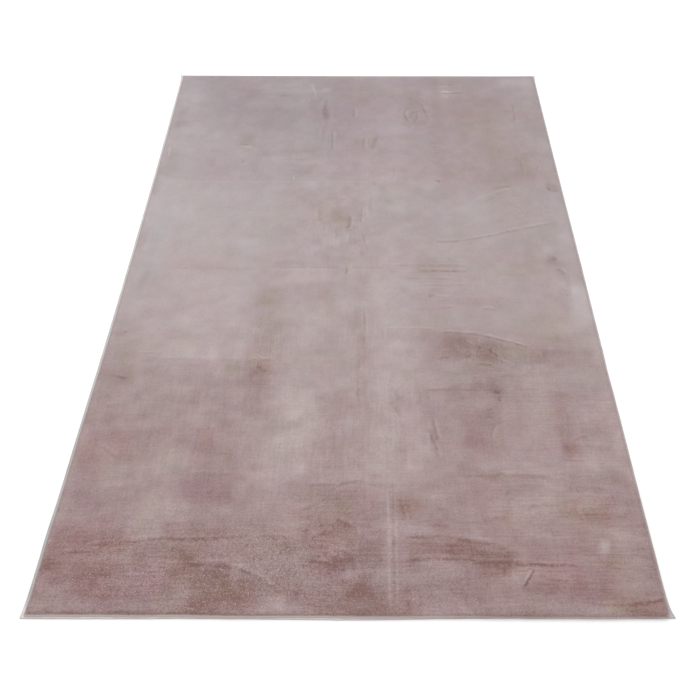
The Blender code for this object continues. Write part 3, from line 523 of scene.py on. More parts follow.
# Creases and brush strokes: from, to, half width, what they add to the shade, how deep they are
# pressed, what they add to the warmth, how much paler the nap is along the left of the way, and how
# far they bow sideways.
strokes = rowsOf({"x0": 1000, "y0": 1000, "x1": 1000, "y1": 1000, "width": 10000, "shade": 100,
                  "depth": 10000, "warmth": 100, "lip": 100, "bow": 1000}, [
    # back
    (-135, 820, -137, 960, 75, 15, 6, 10, 10, 4), (-158, 860, -155, 930, 40, -20),
    (-207, 1080, -180, 950, 70, -14, 0, 0, 0, 3), (-145, 710, -140, 780, 50, 8, 4, 10, 6),
    (-88, 620, -98, 740, 50, -12, 4, 0, -12), (-345, 985, -285, 985, 50, 12, 3, 10, 0, 2),
    (-225, 965, -222, 945, 40, 16, 3, 30, 10), (-20, 900, -18, 830, 60, 12, 4, 10, 12, 4),
    (28, 700, 30, 625, 60, 15, 5, 30, 6, -3), (77, 715, 50, 625, 50, 14, 5, 20, -12, 3),
    (215, 970, 290, 905, 50, 13, 4, 30, 6, 6), (270, 925, 297, 805, 60, 13, 4, 20, 6, 6),
    (205, 885, 215, 805, 60, 12, 4, 10, 6, -8), (250, 885, 240, 795, 60, 12, 4, 10, 5, 8),
    (220, 860, 245, 858, 90, 10), (145, 866, 185, 868, 40, -12), (362, 1017, 425, 1019, 40, -30, -6),
    (420, 1021, 460, 1021, 40, -14, -3), (360, 1007, 465, 1008, 50, 19, 6, 10),
    (355, 1057, 400, 1057, 60, -18), (400, 1072, 425, 1070, 60, 12, 0, 10), (300, 1018, 335, 1018, 50, -9),
    (365, 985, 400, 978, 100, -13), (668, 935, 662, 800, 35, 16, 3, 10, 0, 4),
    (645, 866, 695, 866, 35, 10, 0, 20), (765, 965, 775, 935, 40, 14, 3, 0, 14, 3),
    (652, 560, 652, 475, 60, 13, 4, 30, 5, 3), (455, 545, 462, 500, 40, 10, 3, 10),
    (725, 530, 712, 500, 40, 13, 3, 10, 8), (310, 440, 326, 428, 60, 26, 4, 10, 8, 3),
    (145, 510, 135, 440, 40, 8, 3, 0, 5, 8), (-485, 640, -430, 640, 45, -17),
    (-470, 652, -440, 650, 50, 12, 3, 10), (-350, 572, -210, 572, 70, -9), (-245, 440, -245, 468, 35, -30),
    (-455, 565, -452, 535, 40, 12, 3), (-775, 1127, -350, 1128, 40, 14), (-185, 1127, -140, 1127, 40, 12),
    # fold marks
    (-760, 428, 300, 430, 60, -3, -6, 0, -2), (-660, -12, -320, -20, 60, 5, 8, 10),
    (-330, -20, 100, -22, 45, -7, 6, 0, -6), (100, 0, 400, -4, 45, 6, 8, 10, 5),
    (215, -27, 395, -28, 45, 24, 8, 25, 8), (200, -42, 370, -40, 50, -10, -4),
    (180, -60, 330, -64, 40, 8, 6, 10, 8), (200, -92, 400, -90, 40, 10, 6, 10, 8),
    (190, -112, 300, -113, 35, 6, 3, 0, 6), (250, -138, 272, -138, 60, 34, 6, 10),
    (270, -134, 325, -136, 40, -12), (285, -187, 340, -187, 45, 14, 4, 10, 6),
    (425, -195, 470, -200, 40, 14, 4, 0, 12, 5), (440, -20, 435, -120, 40, -7, 0, 0, 0, 3),
    (500, -45, 620, -45, 40, 5, 3, 10), (290, 113, 400, 119, 50, 22, 7, 15, 4, -4),
    (390, 119, 560, 160, 45, 18, 9, 20, 7, -2), (540, 155, 730, 205, 50, 12, 9, 15, 14, 3),
    (450, 335, 500, 345, 45, -12, -5, 0, 0, 3), (500, 355, 600, 395, 45, -12, -5, 0, 0, 2),
    (515, 385, 600, 405, 45, 14, 4, 10, 0, 4), (490, 320, 530, 345, 40, 8, 4),
    (600, 300, 625, 265, 40, 10, 3, 10, 8, 4), (690, 35, 712, 22, 70, 30, 6, 10, 5, 3),
    (700, -18, 728, -45, 60, 14, 6, 0, 10, 6), (728, -45, 715, -150, 50, 10, 4, 0, -8, 4),
    (732, 405, 745, 372, 60, 20, 6, 10, 5, 3),
    # down the middle
    (-132, 215, -134, 275, 65, 18, 5, 40, 6), (-20, 245, -30, 175, 60, 20, 5, 30, 8, 3),
    (22, 290, 18, 205, 45, 12, 5, 10, 12, 2), (40, 300, 44, 230, 45, -12, 0, 0, 0, 2),
    (55, 335, 57, 270, 45, 11, 4, 0, 5), (32, 155, 34, 95, 45, 13, 4, 0, 6), (-80, 190, -82, 130, 35, -14),
    (-22, 150, -34, 105, 35, -15), (-165, 220, -168, 170, 35, -12), (-112, 355, -110, 335, 40, -14),
    (-105, 362, -70, 362, 35, 10, 3), (-70, 343, -35, 343, 40, -14, 0, 30),
    (-220, 386, -185, 386, 40, 12, 3, 10), (-525, 165, -518, 130, 40, -12),
    (-28, -5, -28, -45, 50, 18, 5, 40, 10), (-12, 0, -16, -30, 40, -14, 0, 30),
    (34, -200, 30, -360, 45, 13, 4, 10, 6, 3), (22, -360, 18, -550, 45, 11, 4, 10, 6, -3),
    (-748, -290, -738, -283, 45, 26, 6, 10), (-740, -285, -732, -293, 45, 24, 6, 10),
    (-685, -374, -600, -374, 40, 9, 6, 0, 6, 3), (-690, -205, -675, -212, 40, 12, 4, 0, 6),
    # dark wedge
    (100, -276, 300, -279, 35, 4, 6, 10, 12, 2), (285, -290, 420, -301, 45, 12, 10, 10, 14, 3),
    (400, -299, 560, -349, 40, 22, 10, 10, 18, 3), (435, -352, 440, -372, 45, 26, 4, 10, 12),
    (447, -368, 457, -386, 45, 26, 4, 10, 12), (330, -352, 390, -392, 35, -16, 4, 20),
    (345, -345, 400, -378, 35, -12, 4, 20), (360, -318, 385, -335, 35, -14, 4, 10),
    (405, -315, 402, -345, 35, -14, 4, 10), (260, -393, 310, -383, 40, 10, 5, 0, 8),
    (275, -360, 310, -352, 35, -12, 4, 10), (330, -392, 380, -397, 40, -12, 4, 10),
    (385, -412, 440, -418, 40, 15, 5, 10, 12, 3), (462, -388, 508, -414, 35, -20, -4),
    (600, -360, 640, -352, 40, -10, -4, 0, 0, 3), (605, -385, 600, -355, 40, 14, 5, 10, 6),
    (643, -400, 645, -385, 40, 16, 5, 10), (215, -503, 450, -503, 40, 12, 5, 10, 6),
    (300, -481, 420, -484, 40, 10, 5, 10, 4), (115, -485, 165, -485, 40, -10),
    (125, -505, 150, -550, 45, 13, 5, 10, -8), (115, -545, 148, -600, 45, 14, 5, 10, -10),
    (226, -635, 246, -708, 48, 32, 5, 10, 8), (236, -595, 252, -680, 50, 28, 5, 10, 8),
    (240, -690, 247, -725, 50, 12, 5, 10, 6), (310, -781, 420, -781, 45, 10, 6, 10, 6),
    (400, -779, 560, -785, 60, 15, 6, 10, 6, 2), (600, -733, 670, -738, 45, 12, 5, 10, 8),
    (640, -672, 690, -655, 40, 12, 5, 10, 8), (710, -545, 790, -548, 40, -8, 3, 20, -5),
    (425, -620, 405, -670, 40, 10, 4, 0, 6, -6), (400, -575, 440, -560, 45, 10, 4, 10),
    # lower left
    (-655, -398, -340, -402, 60, 5, 7, 0, 5, 4), (-330, -405, -245, -398, 60, 12, 8, 10, 8, 4),
    (-460, -778, -320, -777, 50, 9, 7, 0, 6), (-120, -808, -20, -805, 40, 14, 9, 10, 10),
    (-45, -812, 40, -797, 45, 22, 9, 10, 10, 3), (30, -800, 90, -815, 40, 8, 4),
    (10, -730, 45, -790, 45, 12, 4, 20, -5), (-685, -978, -570, -965, 50, 13, 8, 10, 8, 3),
    (-590, -968, -450, -955, 50, 17, 8, 10, 10, 4), (-460, -956, -360, -955, 45, 16, 8, 10, 8, -2),
    (-370, -956, -260, -948, 40, 12, 8, 10, 8), (-270, -948, -150, -955, 40, 6, 5, 0, 4),
    (-750, -992, -640, -990, 40, 10, 5, 10, 6), (-420, -1025, -300, -1028, 55, 18, 8, 10, 10, 4),
    (-310, -1028, -190, -1080, 50, 14, 8, 10, 12, 8), (-200, -1072, -165, -1095, 45, 12, 8, 10, 8),
    (-360, -1045, -300, -1050, 45, 10, 4, 0, 0, 3), (-45, -905, 10, -930, 50, 18, 6, 10, 8, 8),
    (8, -920, 18, -955, 45, 14, 6, 10, 8, 4), (-100, -955, -40, -940, 45, 12, 6, 10, 8, 4),
    (-60, -985, 10, -1000, 45, 12, 6, 10, 8, 6), (-120, -1015, -20, -1030, 45, 11, 6, 10, 8, 6),
    (25, -960, 35, -1050, 40, -10, 0, 0, 0, -8), (-130, -880, -80, -860, 45, 10, 6, 10, 6),
    # front
    (140, -868, 158, -858, 70, 12, 5, 30), (422, -838, 445, -828, 50, 14, 5, 10, 6, 3),
    (430, -850, 435, -910, 50, 8, 4, 0, 5, 4), (606, -870, 624, -905, 45, 12, 5, 10, 5, -4),
    (140, -952, 290, -955, 45, 14, 8, 10, 8, 3), (270, -955, 420, -985, 60, 16, 9, 10, 8, 4),
    (310, -985, 440, -990, 45, 12, 9, 10, 6), (130, -1000, 330, -1001, 35, -14, -4),
    (140, -1009, 350, -1008, 45, 15, 8, 10), (310, -1017, 430, -1019, 60, 22, 8, 10, 8),
    (415, -1008, 480, -1010, 35, -20, -4), (420, -1020, 585, -1023, 36, 26, 6, 10, 8),
    (400, -1025, 398, -1052, 45, 20, 6, 10, -6), (415, -1020, 440, -1075, 35, -14, -4, 0, 0, -6),
    (442, -1078, 478, -1030, 34, 28, 6, 10, 18), (500, -1058, 560, -1062, 45, 14, 6, 0, 6),
    (104, -810, 104, -1145, 36, -19, 0, 0, 0, 1), (124, -810, 121, -1145, 30, -12, 0, 0, 0, 3),
    (115, -810, 112, -1145, 35, 13, 4, 0, 0, 2), (134, -840, 150, -910, 45, 12, 5, 10, 8),
    (140, -938, 230, -936, 40, -10), (300, -938, 390, -932, 40, -9),
    (370, -900, 520, -902, 40, 7, 5, 0, 5, 3), (-790, -1122, -620, -1123, 35, -6, 0, 20),
    (-790, -1135, -350, -1135, 40, 10, 4, 10), (-350, -1135, 200, -1136, 35, 4, 4, 10),
    (690, -1118, 790, -1106, 40, 26, 6, 10, 8, -2), (692, -1134, 735, -1128, 40, 10, 5, 20, 8, 2),
    (600, -1118, 700, -1122, 40, 10, 5, 20, 6), (-765, 640, -755, 580, 45, -16),
    (-300, -415, -265, -440, 60, 20, 6, 10), (-745, -455, -690, -470, 55, 16, 5, 10, 5, 3),
    (-720, -690, -660, -730, 45, 14, 5, 10, 8), (480, -868, 570, -866, 45, 15, 5, 20, 3, 2),
    (745, 372, 780, 378, 60, 18, 6, 10, 0, 3), (300, 605, 338, 602, 60, 10, 4, 20, 3),
    (305, 640, 345, 637, 60, 9, 4, 20, 3), (300, 668, 332, 667, 60, 8, 4, 20, 3),
    (-42, -903, -3, -923, 42, 24, 5, 10, 8, 2), (431, -510, 453, -512, 75, 20, 6),
    (434, -536, 450, -537, 65, 18, 5),
])


# What wanders: strength, lumps' size across and along, seed.
waves = {
    "areaX": [(0.012, 0.110, 0.130, 21), (0.006, 0.030, 0.040, 22)],
    "areaY": [(0.010, 0.120, 0.110, 23), (0.005, 0.035, 0.030, 24)],
    "strokeX": [(0.0012, 0.040, 0.040, 25)],
    "strokeY": [(0.0012, 0.040, 0.040, 26)],
    "strokeEnds": [(0.25, 0.030, 0.030, 27)],
    "height": [(0.00030, 0.060, 0.070, 41), (0.00020, 0.024, 0.020, 42)],
}

# Clouds in the nap: what they change, how much everywhere, and how much more at the front, between
# front and back, and at the back; lumps' size across and along, seed.
clouds = [
    ("shade", 0.018, 0, 0, 0.012, 0.055, 0.600, 31),        # columns of yarn rows pressed together
    ("shade", 0.026, 0.045, 0.036, 0, 0.080, 0.060, 33),
    ("shade", 0.032, 0.028, 0.026, 0, 0.034, 0.028, 34),
    ("shade", 0.018, 0.018, 0.014, 0, 0.015, 0.013, 39),
    ("shade", 0, 0.026, 0, 0, 0.150, 0.022, 35),
    ("warmth", 0.10, 0, 0, 0, 0.085, 0.080, 36),
    ("warmth", 0.12, 0, 0, 0, 0.032, 0.036, 37),
    ("warmth", 0.10, 0, 0, 0, 0.014, 0.016, 38),
    ("rose", 0.22, 0, 0, 0, 0.090, 0.075, 71),
    ("rose", 0.38, 0, 0, 0, 0.036, 0.032, 72),
    ("rose", 0.25, 0, 0, 0, 0.015, 0.014, 73),
]

trend = {
    "front": (-0.1, 0.7),       # how far forward of the middle the front's look begins and is whole
    "back": (0.3, 0.8),         # the same for the back, backward
    "innerWidth": 0.30,         # half width of the stretch between them
    "combed": (0.15, 0.45),     # fine marks everywhere, and how much more at the front
    "creased": (0.12, 0.48),
    "scribbled": (0.05, 0.15),
    "seamShadeEnds": (0.0, 0.4),     # across the rug, where the seam's painted shade and the hem's painted highlight and shade fade to their least
    "blush": 0.12,              # what is added at the back right
    "blushX": (-0.25, 0.1),
    "blushY": (0.33, 0.50),
    "plain": 0.15,              # share of the shading that adds no red, and where it is more
    "plainMore": [(0.22, -1.0, -0.6), (0.08, 0.0, 0.8)],
}


def brushed(x, y):
    # how the nap lies at some places
    wideX = drifted(x, x, y, waves["areaX"])
    wideY = drifted(y, x, y, waves["areaY"])
    ys = [row["y"] for row in lengthwise]
    lie = {label: np.interp(wideY, ys, [row[label] for row in lengthwise])
           for label in ("shade", "warmth", "blush", "speckle")}
    lie["rose"] = np.zeros(len(x))
    for area in areas:
        turn = math.radians(area["turn"])
        u = (wideX - area["x"]) * math.cos(turn) + (wideY - area["y"]) * math.sin(turn)
        v = (wideY - area["y"]) * math.cos(turn) - (wideX - area["x"]) * math.sin(turn)
        off = np.abs(u / area["across"]) ** area["sharp"] + np.abs(v / area["along"]) ** area["sharp"]
        share = np.exp(-off)
        for label in ("shade", "warmth", "rose", "speckle"):
            lie[label] += area[label] * share

    lie["blush"] += trend["blush"] * fade(x, *trend["blushX"]) * fade(y, *trend["blushY"])

    front = fade(-y, *trend["front"])
    back = fade(y, *trend["back"])
    inner = np.exp(-(x / trend["innerWidth"]) ** 2) * (1 - front) * (1 - back)
    for label, plain, atFront, between, atBack, across, along, seed in clouds:
        strength = plain + atFront * front + between * inner + atBack * back
        lie[label] += strength * softNoise(x, y, across, along, seed)
    lie["height"] = drifted(0, x, y, waves["height"])

    # where the seam's painted shade and the hem's painted highlight and shade are whole: at the left, less to
    # the right
    lie["soilAndSeamShade"] = 1 - fade(x, *trend["seamShadeEnds"])
    for label in ("combed", "creased", "scribbled"):
        everywhere, more = trend[label]
        lie[label] = everywhere + more * front
        for place in finely:
            off = ((wideX - place["x"]) / place["across"]) ** 2 + ((wideY - place["y"]) / place["along"]) ** 2
            lie[label] = lie[label] + place[label] * np.exp(-off)
    markStrokes(x, y, lie)

    # part of what darkens the nap darkens it without making it redder
    own = lie["shade"] - np.interp(wideY, ys, [row["shade"] for row in lengthwise])
    lie["plain"] = trend["plain"] + sum(more * fade(y, *ends) for more, *ends in trend["plainMore"])
    lie["deep"] = lie["plain"] * own
    lie["shade"] -= lie["deep"]
    return lie


brush = {                       # how far from a stroke's middle it is felt, in its half widths and metres
    "reach": (3, 0.012),
    "warms": (1.5, 0),
    "presses": (1.2, 0.002),
    "rules": (2, 0.004),        # over the strokes it crosses
    "spare": 0.004,             # room for the wandering of the places
    "ends": (-0.04, 0.16),      # the share of its length over which it starts and stops
    "strength": 0.9,
    "nowhere": 9.0,             # half widths away, where no stroke is near
}


def markStrokes(x, y, lie):
    # each place keeps its strongest stroke, as how far beside its middle the place is, in half widths
    narrowX = drifted(x, x, y, waves["strokeX"])
    narrowY = drifted(y, x, y, waves["strokeY"])
    ragged = drifted(brush["strength"], x, y, waves["strokeEnds"])
    lie["beside"] = np.full(len(x), brush["nowhere"])
    lie["line"] = np.zeros(len(x))
    lie["lip"] = np.zeros(len(x))
    strongest = np.zeros(len(x))
    for row in strokes:
        wayX = row["x1"] - row["x0"]
        wayY = row["y1"] - row["y0"]
        length = math.hypot(wayX, wayY)
        wayX /= length
        wayY /= length
        reach, warms, presses, rules = (brush[label][0] * row["width"] + brush[label][1]
                                        for label in ("reach", "warms", "presses", "rules"))
        room = reach + abs(row["bow"]) + brush["spare"]
        close = np.nonzero((narrowX > min(row["x0"], row["x1"]) - room)
                           & (narrowX < max(row["x0"], row["x1"]) + room)
                           & (narrowY > min(row["y0"], row["y1"]) - room)
                           & (narrowY < max(row["y0"], row["y1"]) + room))[0]
        if not len(close):
            continue
        fromX = narrowX[close] - row["x0"]
        fromY = narrowY[close] - row["y0"]
        share = (fromX * wayX + fromY * wayY) / length
        side = fromY * wayX - fromX * wayY - row["bow"] * 4 * share * (1 - share)
        ends = fade(share, *brush["ends"]) * fade(1 - share, *brush["ends"]) * ragged[close]
        ends = ends * fade(1 - np.abs(side) / reach, 0, brush["reach"][1] / reach)
        lie["warmth"][close] += row["warmth"] * ends * np.exp(-(side / warms) ** 2)
        lie["height"][close] -= row["depth"] * ends * np.exp(-(side / presses) ** 2)
        strength = (abs(row["shade"]) + abs(row["lip"])) * ends * np.exp(-(side / rules) ** 2)
        wins = strength > strongest[close]
        won = close[wins]
        strongest[won] = strength[wins]
        lie["beside"][won] = (side / row["width"])[wins]
        lie["line"][won] = (row["shade"] * ends)[wins]
        lie["lip"][won] = (row["lip"] * ends)[wins]


def pileRelief(x, y, inset):
    return brushed(x, y)["height"] * fade(inset, *pileCut["reliefFrom"])


def setFloats(data, name, values):
    layer = data.attributes.new(name, "FLOAT", "POINT")
    layer.data.foreach_set("value", np.ascontiguousarray(values, dtype=np.float32))


markLabels = ("beside", "line", "lip", "speckle", "combed", "creased", "scribbled")
napLabels = (*markLabels, "shade", "warmth", "blush", "rose", "soilAndSeamShade", "plain", "deep")


def setNap(data):
    # writes how the nap lies on every point of a mesh
    spots = placesOf(data)
    lie = brushed(spots[:, 0], spots[:, 1])
    for label in napLabels:
        setFloats(data, label, lie[label])


def bakeMap(data):
    # a map seen from above, so that what overlaps still reads its own place
    places = placesOf(data)[:, :2]
    low = places.min(axis=0)
    span = places.max(axis=0) - low
    corners = np.empty(len(data.loops), dtype=np.int32)
    data.loops.foreach_get("vertex_index", corners)
    layer = data.uv_layers.new(name="OFBake")
    layer.uv.foreach_set("vector", ((places - low) / span)[corners].astype(np.float32).ravel())


def addPiece(name, data, material):
    data.name = name
    data.materials.clear()
    data.materials.append(material)
    piece = bpy.data.objects.new(name, data)
    bpy.context.scene.collection.objects.link(piece)
    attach(piece, "root")
    print(name, "has", sum(len(face.vertices) - 2 for face in data.polygons), "triangles")
    return piece


def fromCodes(red, green, blue):
    # a colour from the 0 to 255 codes of a paint chart
    return (*(((c / 255 + 0.055) / 1.055) ** 2.4 for c in (red, green, blue)), 1.0)


def newGroup(name, inputs, **outputs):
    group = bpy.data.node_groups.new(name, "ShaderNodeTree")
    for label in inputs:
        group.interface.new_socket(label, in_out="INPUT", socket_type="NodeSocketFloat")
    for label, kind in outputs.items():
        group.interface.new_socket(label, in_out="OUTPUT", socket_type="NodeSocket" + kind)
    return group, group.nodes.new("NodeGroupInput").outputs, group.nodes.new("NodeGroupOutput").inputs


def feed(tree, socket, value):
    # a socket takes another node's output, or a plain value
    if isinstance(value, bpy.types.NodeSocket):
        tree.links.new(value, socket)
    else:
        socket.default_value = value


def mathNode(tree, operation, *values):
    node = tree.nodes.new("ShaderNodeMath")
    node.operation = operation
    for socket, value in zip(node.inputs, values):
        feed(tree, socket, value)
    return node.outputs[0]


def ranged(tree, value, low, high, first=0.0, last=1.0):
    # first where the value is low, last where it is high, smooth between
    node = tree.nodes.new("ShaderNodeMapRange")
    node.interpolation_type = "SMOOTHSTEP"
    for label, number in (("From Min", low), ("From Max", high), ("To Min", first), ("To Max", last)):
        node.inputs[label].default_value = number
    tree.links.new(value, node.inputs["Value"])
    return node.outputs["Result"]


def bell(tree, value):
    # 1 where the value is 0, falling softly on both sides
    square = mathNode(tree, "MULTIPLY", value, value)
    return mathNode(tree, "EXPONENT", mathNode(tree, "MULTIPLY", square, -1.0))


def mixColours(tree, factor, first, second, blend="MIX"):
    node = tree.nodes.new("ShaderNodeMix")
    node.data_type = "RGBA"
    node.blend_type = blend
    for socket, value in zip((node.inputs[0], node.inputs[6], node.inputs[7]), (factor, first, second)):
        feed(tree, socket, value)
    return node.outputs[2]


def noiseNode(tree, scale, detail=1.0, roughness=0.5, distortion=0.0):
    # noise on the object's own coordinates, with scale lumps to a metre along each axis
    place = tree.nodes.new("ShaderNodeTexCoord")
    mapping = tree.nodes.new("ShaderNodeMapping")
    mapping.inputs["Scale"].default_value = scale
    noise = tree.nodes.new("ShaderNodeTexNoise")
    for label, number in (("Scale", 1.0), ("Detail", detail), ("Roughness", roughness),
                          ("Distortion", distortion)):
        noise.inputs[label].default_value = number
    tree.links.new(place.outputs["Object"], mapping.inputs["Vector"])
    tree.links.new(mapping.outputs["Vector"], noise.inputs["Vector"])
    return noise.outputs["Fac"]


def colourRamp(tree, factor, stops):
    ramp = tree.nodes.new("ShaderNodeValToRGB")
    while len(ramp.color_ramp.elements) < len(stops):
        ramp.color_ramp.elements.new(1.0)
    for element, (place, colour) in zip(ramp.color_ramp.elements, stops):
        element.position = place
        element.color = colour
    tree.links.new(factor, ramp.inputs["Fac"])
    return ramp.outputs["Color"]


def attribute(tree, name):
    node = tree.nodes.new("ShaderNodeAttribute")
    node.attribute_type = "GEOMETRY"
    node.attribute_name = name
    return node.outputs["Fac"]


def placeGroup(tree, group, **values):
    node = tree.nodes.new("ShaderNodeGroup")
    node.node_tree = group
    for label, value in values.items():
        feed(tree, node.inputs[label], value)
    return node.outputs


nap = {
    "lilac": [(0.0, 198, 191, 195), (0.2, 186, 177, 181), (0.4, 175, 163, 167),
              (0.6, 163, 147, 151), (0.8, 147, 128, 131), (1.0, 124, 99, 101)],
    "brown": [(0.0, 199, 191, 188), (0.2, 189, 178, 174), (0.4, 179, 165, 161),
              (0.6, 169, 152, 147), (0.8, 155, 133, 126), (1.0, 133, 104, 95)],
    "greyer": (0.90, 1.035, 1.04, 1.0),
    "pinker": (1.10, 0.965, 0.96, 1.0),
    "olive": (0.950, 1.017, 0.960, 1.0),
    "rose": (1.050, 0.983, 1.040, 1.0),
    "gain": 0.86,               # how much of that colour the yarn has, under this light
    "deepens": 1.15,            # how fast the colour darkens where the nap is deep
}

# Fine marks: what each adds to the shade, and how many of its lumps go to a metre across, along and up.
napMark = {
    "mottle": (0.09, (110, 110, 110)),
    "fibre": (0.06, (820, 300, 500)),
    "grain": (0.17, (190, 165, 180)),
    "paintedGlints": (-0.185, (300, 300, 300)),      # painted glints on the tips
    "paintedGapShade": (0.12, (270, 285, 290)),        # painted shade in the gaps between them
    "combed": (0.11, (150, 12, 30)),
    "creased": (0.16, (14, 170, 30)),
    "scribbled": (0.13, (36, 30, 30)),
    "gaps": (0.6, (55, 55, 55)),        # where a stroke is broken, and how much of it is lost there
}
napEdge = {                     # values of the noise between which a mark begins and is whole
    "dots": (0.60, 0.74),
    "gaps": (0.34, 0.50),
    "scribbled": (0.0, 0.018),
}
stroke = {
    "wobble": 1.6,              # how far a stroke's edges wander, in half widths
    "lipOut": 1.9,              # how far beside its middle the lip lies
    "pressed": 4.0,             # how much deeper its relief is than that of the fine marks
}


def napStops(name):
    stops = []
    for place, *codes in nap[name]:
        red, green, blue, _ = fromCodes(*codes)
        stops.append((place, (red * nap["gain"], green * nap["gain"], blue * nap["gain"], 1.0)))
    return stops


def makeNapColour():
    # the yarn's colour from the way the nap lies
    group, start, end = newGroup("napColour", ["Shade", "Deep", "Warmth", "Blush", "Rose"], Color="Color")
    lilac = colourRamp(group, start["Shade"], napStops("lilac"))
    brown = colourRamp(group, start["Shade"], napStops("brown"))
    colour = mixColours(group, start["Warmth"], lilac, brown)
    tint = mixColours(group, start["Blush"], nap["greyer"], nap["pinker"])
    colour = mixColours(group, 1.0, colour, tint, "MULTIPLY")
    share = mathNode(group, "MULTIPLY_ADD", start["Rose"], 0.5, 0.5)
    tint = mixColours(group, share, nap["olive"], nap["rose"])
    colour = mixColours(group, 1.0, colour, tint, "MULTIPLY")
    dim = mathNode(group, "EXPONENT", mathNode(group, "MULTIPLY", start["Deep"], -nap["deepens"]))
    group.links.new(mixColours(group, 1.0, colour, dim, "MULTIPLY"), end["Color"])
    return group


def makeNapMarks():
    # fine marks: what they add to the shade of the nap, and their relief
    group, start, end = newGroup("napMarks", [label.capitalize() for label in markLabels],
                                 Change="Float", Height="Float")

    def noise(name, **shape):
        return noiseNode(group, napMark[name][1], **shape)

    def calc(operation, *values):
        return mathNode(group, operation, *values)

    def swing(value, strength):
        return calc("MULTIPLY_ADD", value, strength, -0.5 * strength)

    mottle = noise("mottle")
    fibre = noise("fibre", detail=3, roughness=0.6)
    combed = noise("combed")
    creased = noise("creased", distortion=0.3)
    total = calc("ADD", swing(mottle, napMark["mottle"][0]), swing(fibre, napMark["fibre"][0]))
    total = calc("MULTIPLY_ADD", swing(noise("grain"), napMark["grain"][0]), start["Speckle"], total)
    # painted glints on the tips and painted shade between them, as strong as the speckle says
    for name in ("paintedGlints", "paintedGapShade"):
        dots = ranged(group, noise(name, detail=0), *napEdge["dots"])
        total = calc("MULTIPLY_ADD", calc("MULTIPLY", dots, start["Speckle"]), napMark[name][0], total)
    total = calc("MULTIPLY_ADD", swing(combed, napMark["combed"][0]), start["Combed"], total)
    total = calc("MULTIPLY_ADD", swing(creased, napMark["creased"][0]), start["Creased"], total)
    scribbled = calc("ABSOLUTE", calc("SUBTRACT", noise("scribbled"), 0.5))
    scribbled = ranged(group, scribbled, *napEdge["scribbled"], 1.0, 0.0)
    scribbled = calc("MULTIPLY", scribbled, start["Scribbled"])
    total = calc("MULTIPLY_ADD", scribbled, napMark["scribbled"][0], total)

    # strokes, whose edges wander and whose length is broken here and there
    side = calc("ADD", start["Beside"], swing(mottle, stroke["wobble"]))
    whole = ranged(group, noise("gaps"), *napEdge["gaps"], 1 - napMark["gaps"][0], 1.0)
    line = calc("MULTIPLY", calc("MULTIPLY", bell(group, side), whole), start["Line"])
    lip = calc("MULTIPLY", bell(group, calc("SUBTRACT", side, stroke["lipOut"])), start["Lip"])
    mark = calc("SUBTRACT", line, lip)
    group.links.new(calc("ADD", total, mark), end["Change"])

    relief = calc("ADD", calc("MULTIPLY", fibre, 0.5), mottle)
    relief = calc("MULTIPLY_ADD", creased, 0.5, relief)
    group.links.new(calc("SUBTRACT", relief, calc("MULTIPLY", mark, stroke["pressed"])), end["Height"])
    return group


napColour = makeNapColour()
napMarks = makeNapMarks()


def newMaterial(name, roughness, sheen=0.0, sheenRoughness=0.5, sheenTint=(1, 1, 1, 1)):
    material = bpy.data.materials.new(name)
    material.use_nodes = True
    shader = material.node_tree.nodes["Principled BSDF"]
    for label, value in (("Roughness", roughness), ("Specular IOR Level", 0.2), ("Sheen Weight", sheen),
                         ("Sheen Roughness", sheenRoughness), ("Sheen Tint", sheenTint)):
        shader.inputs[label].default_value = value
    return material, material.node_tree, shader


def addBump(tree, shader, height, strength, distance):
    bump = tree.nodes.new("ShaderNodeBump")
    bump.inputs["Strength"].default_value = strength
    bump.inputs["Distance"].default_value = distance
    tree.links.new(height, bump.inputs["Height"])
    tree.links.new(bump.outputs["Normal"], shader.inputs["Normal"])


seam = {
    "soilAndSeamShade": 0.0070,             # how far in from the edge the painted shade of the seam's groove lies
    "seamShadeWidth": 0.0022,
    "seamShadeStrength": 0.04,
    "hemEnd": (0.0058, 0.0080),
    "hemLeast": 0.45,           # how much of the hem's colour, with its painted highlight and shade, shows where the seam's painted shade is gone
    "tint": (1.14, 1.27, 1.30, 1.0),    # painted light that pales it away from the front edge
    "tintFrom": (-1.14, -1.10),         # along the rug, behind the front edge
    "tintFront": 0.55,                  # how much of that tint the front part of the sides has
    "tintWhole": (-0.75, -0.35),        # along the rug, where the sides' tint grows to the whole of it
    "hem": [                    # hundredths of a metre in from the edge, colour: a pale strip, painted shade under the rolled edge, a painted highlight on its crown, then painted shade in the seam's groove
        (0.00, 172, 162, 159), (0.10, 166, 155, 152), (0.16, 176, 163, 160), (0.26, 175, 161, 158),
        (0.35, 155, 138, 135), (0.50, 151, 134, 131), (0.62, 146, 126, 124), (0.75, 150, 129, 127),
    ],
}


yarn = {"roughness": 0.92, "sheen": 0.25, "sheenRoughness": 0.45, "sheenTint": (0.95, 0.86, 0.86, 1)}
yarnRelief = 0.0008             # depth of the fine marks' bumps


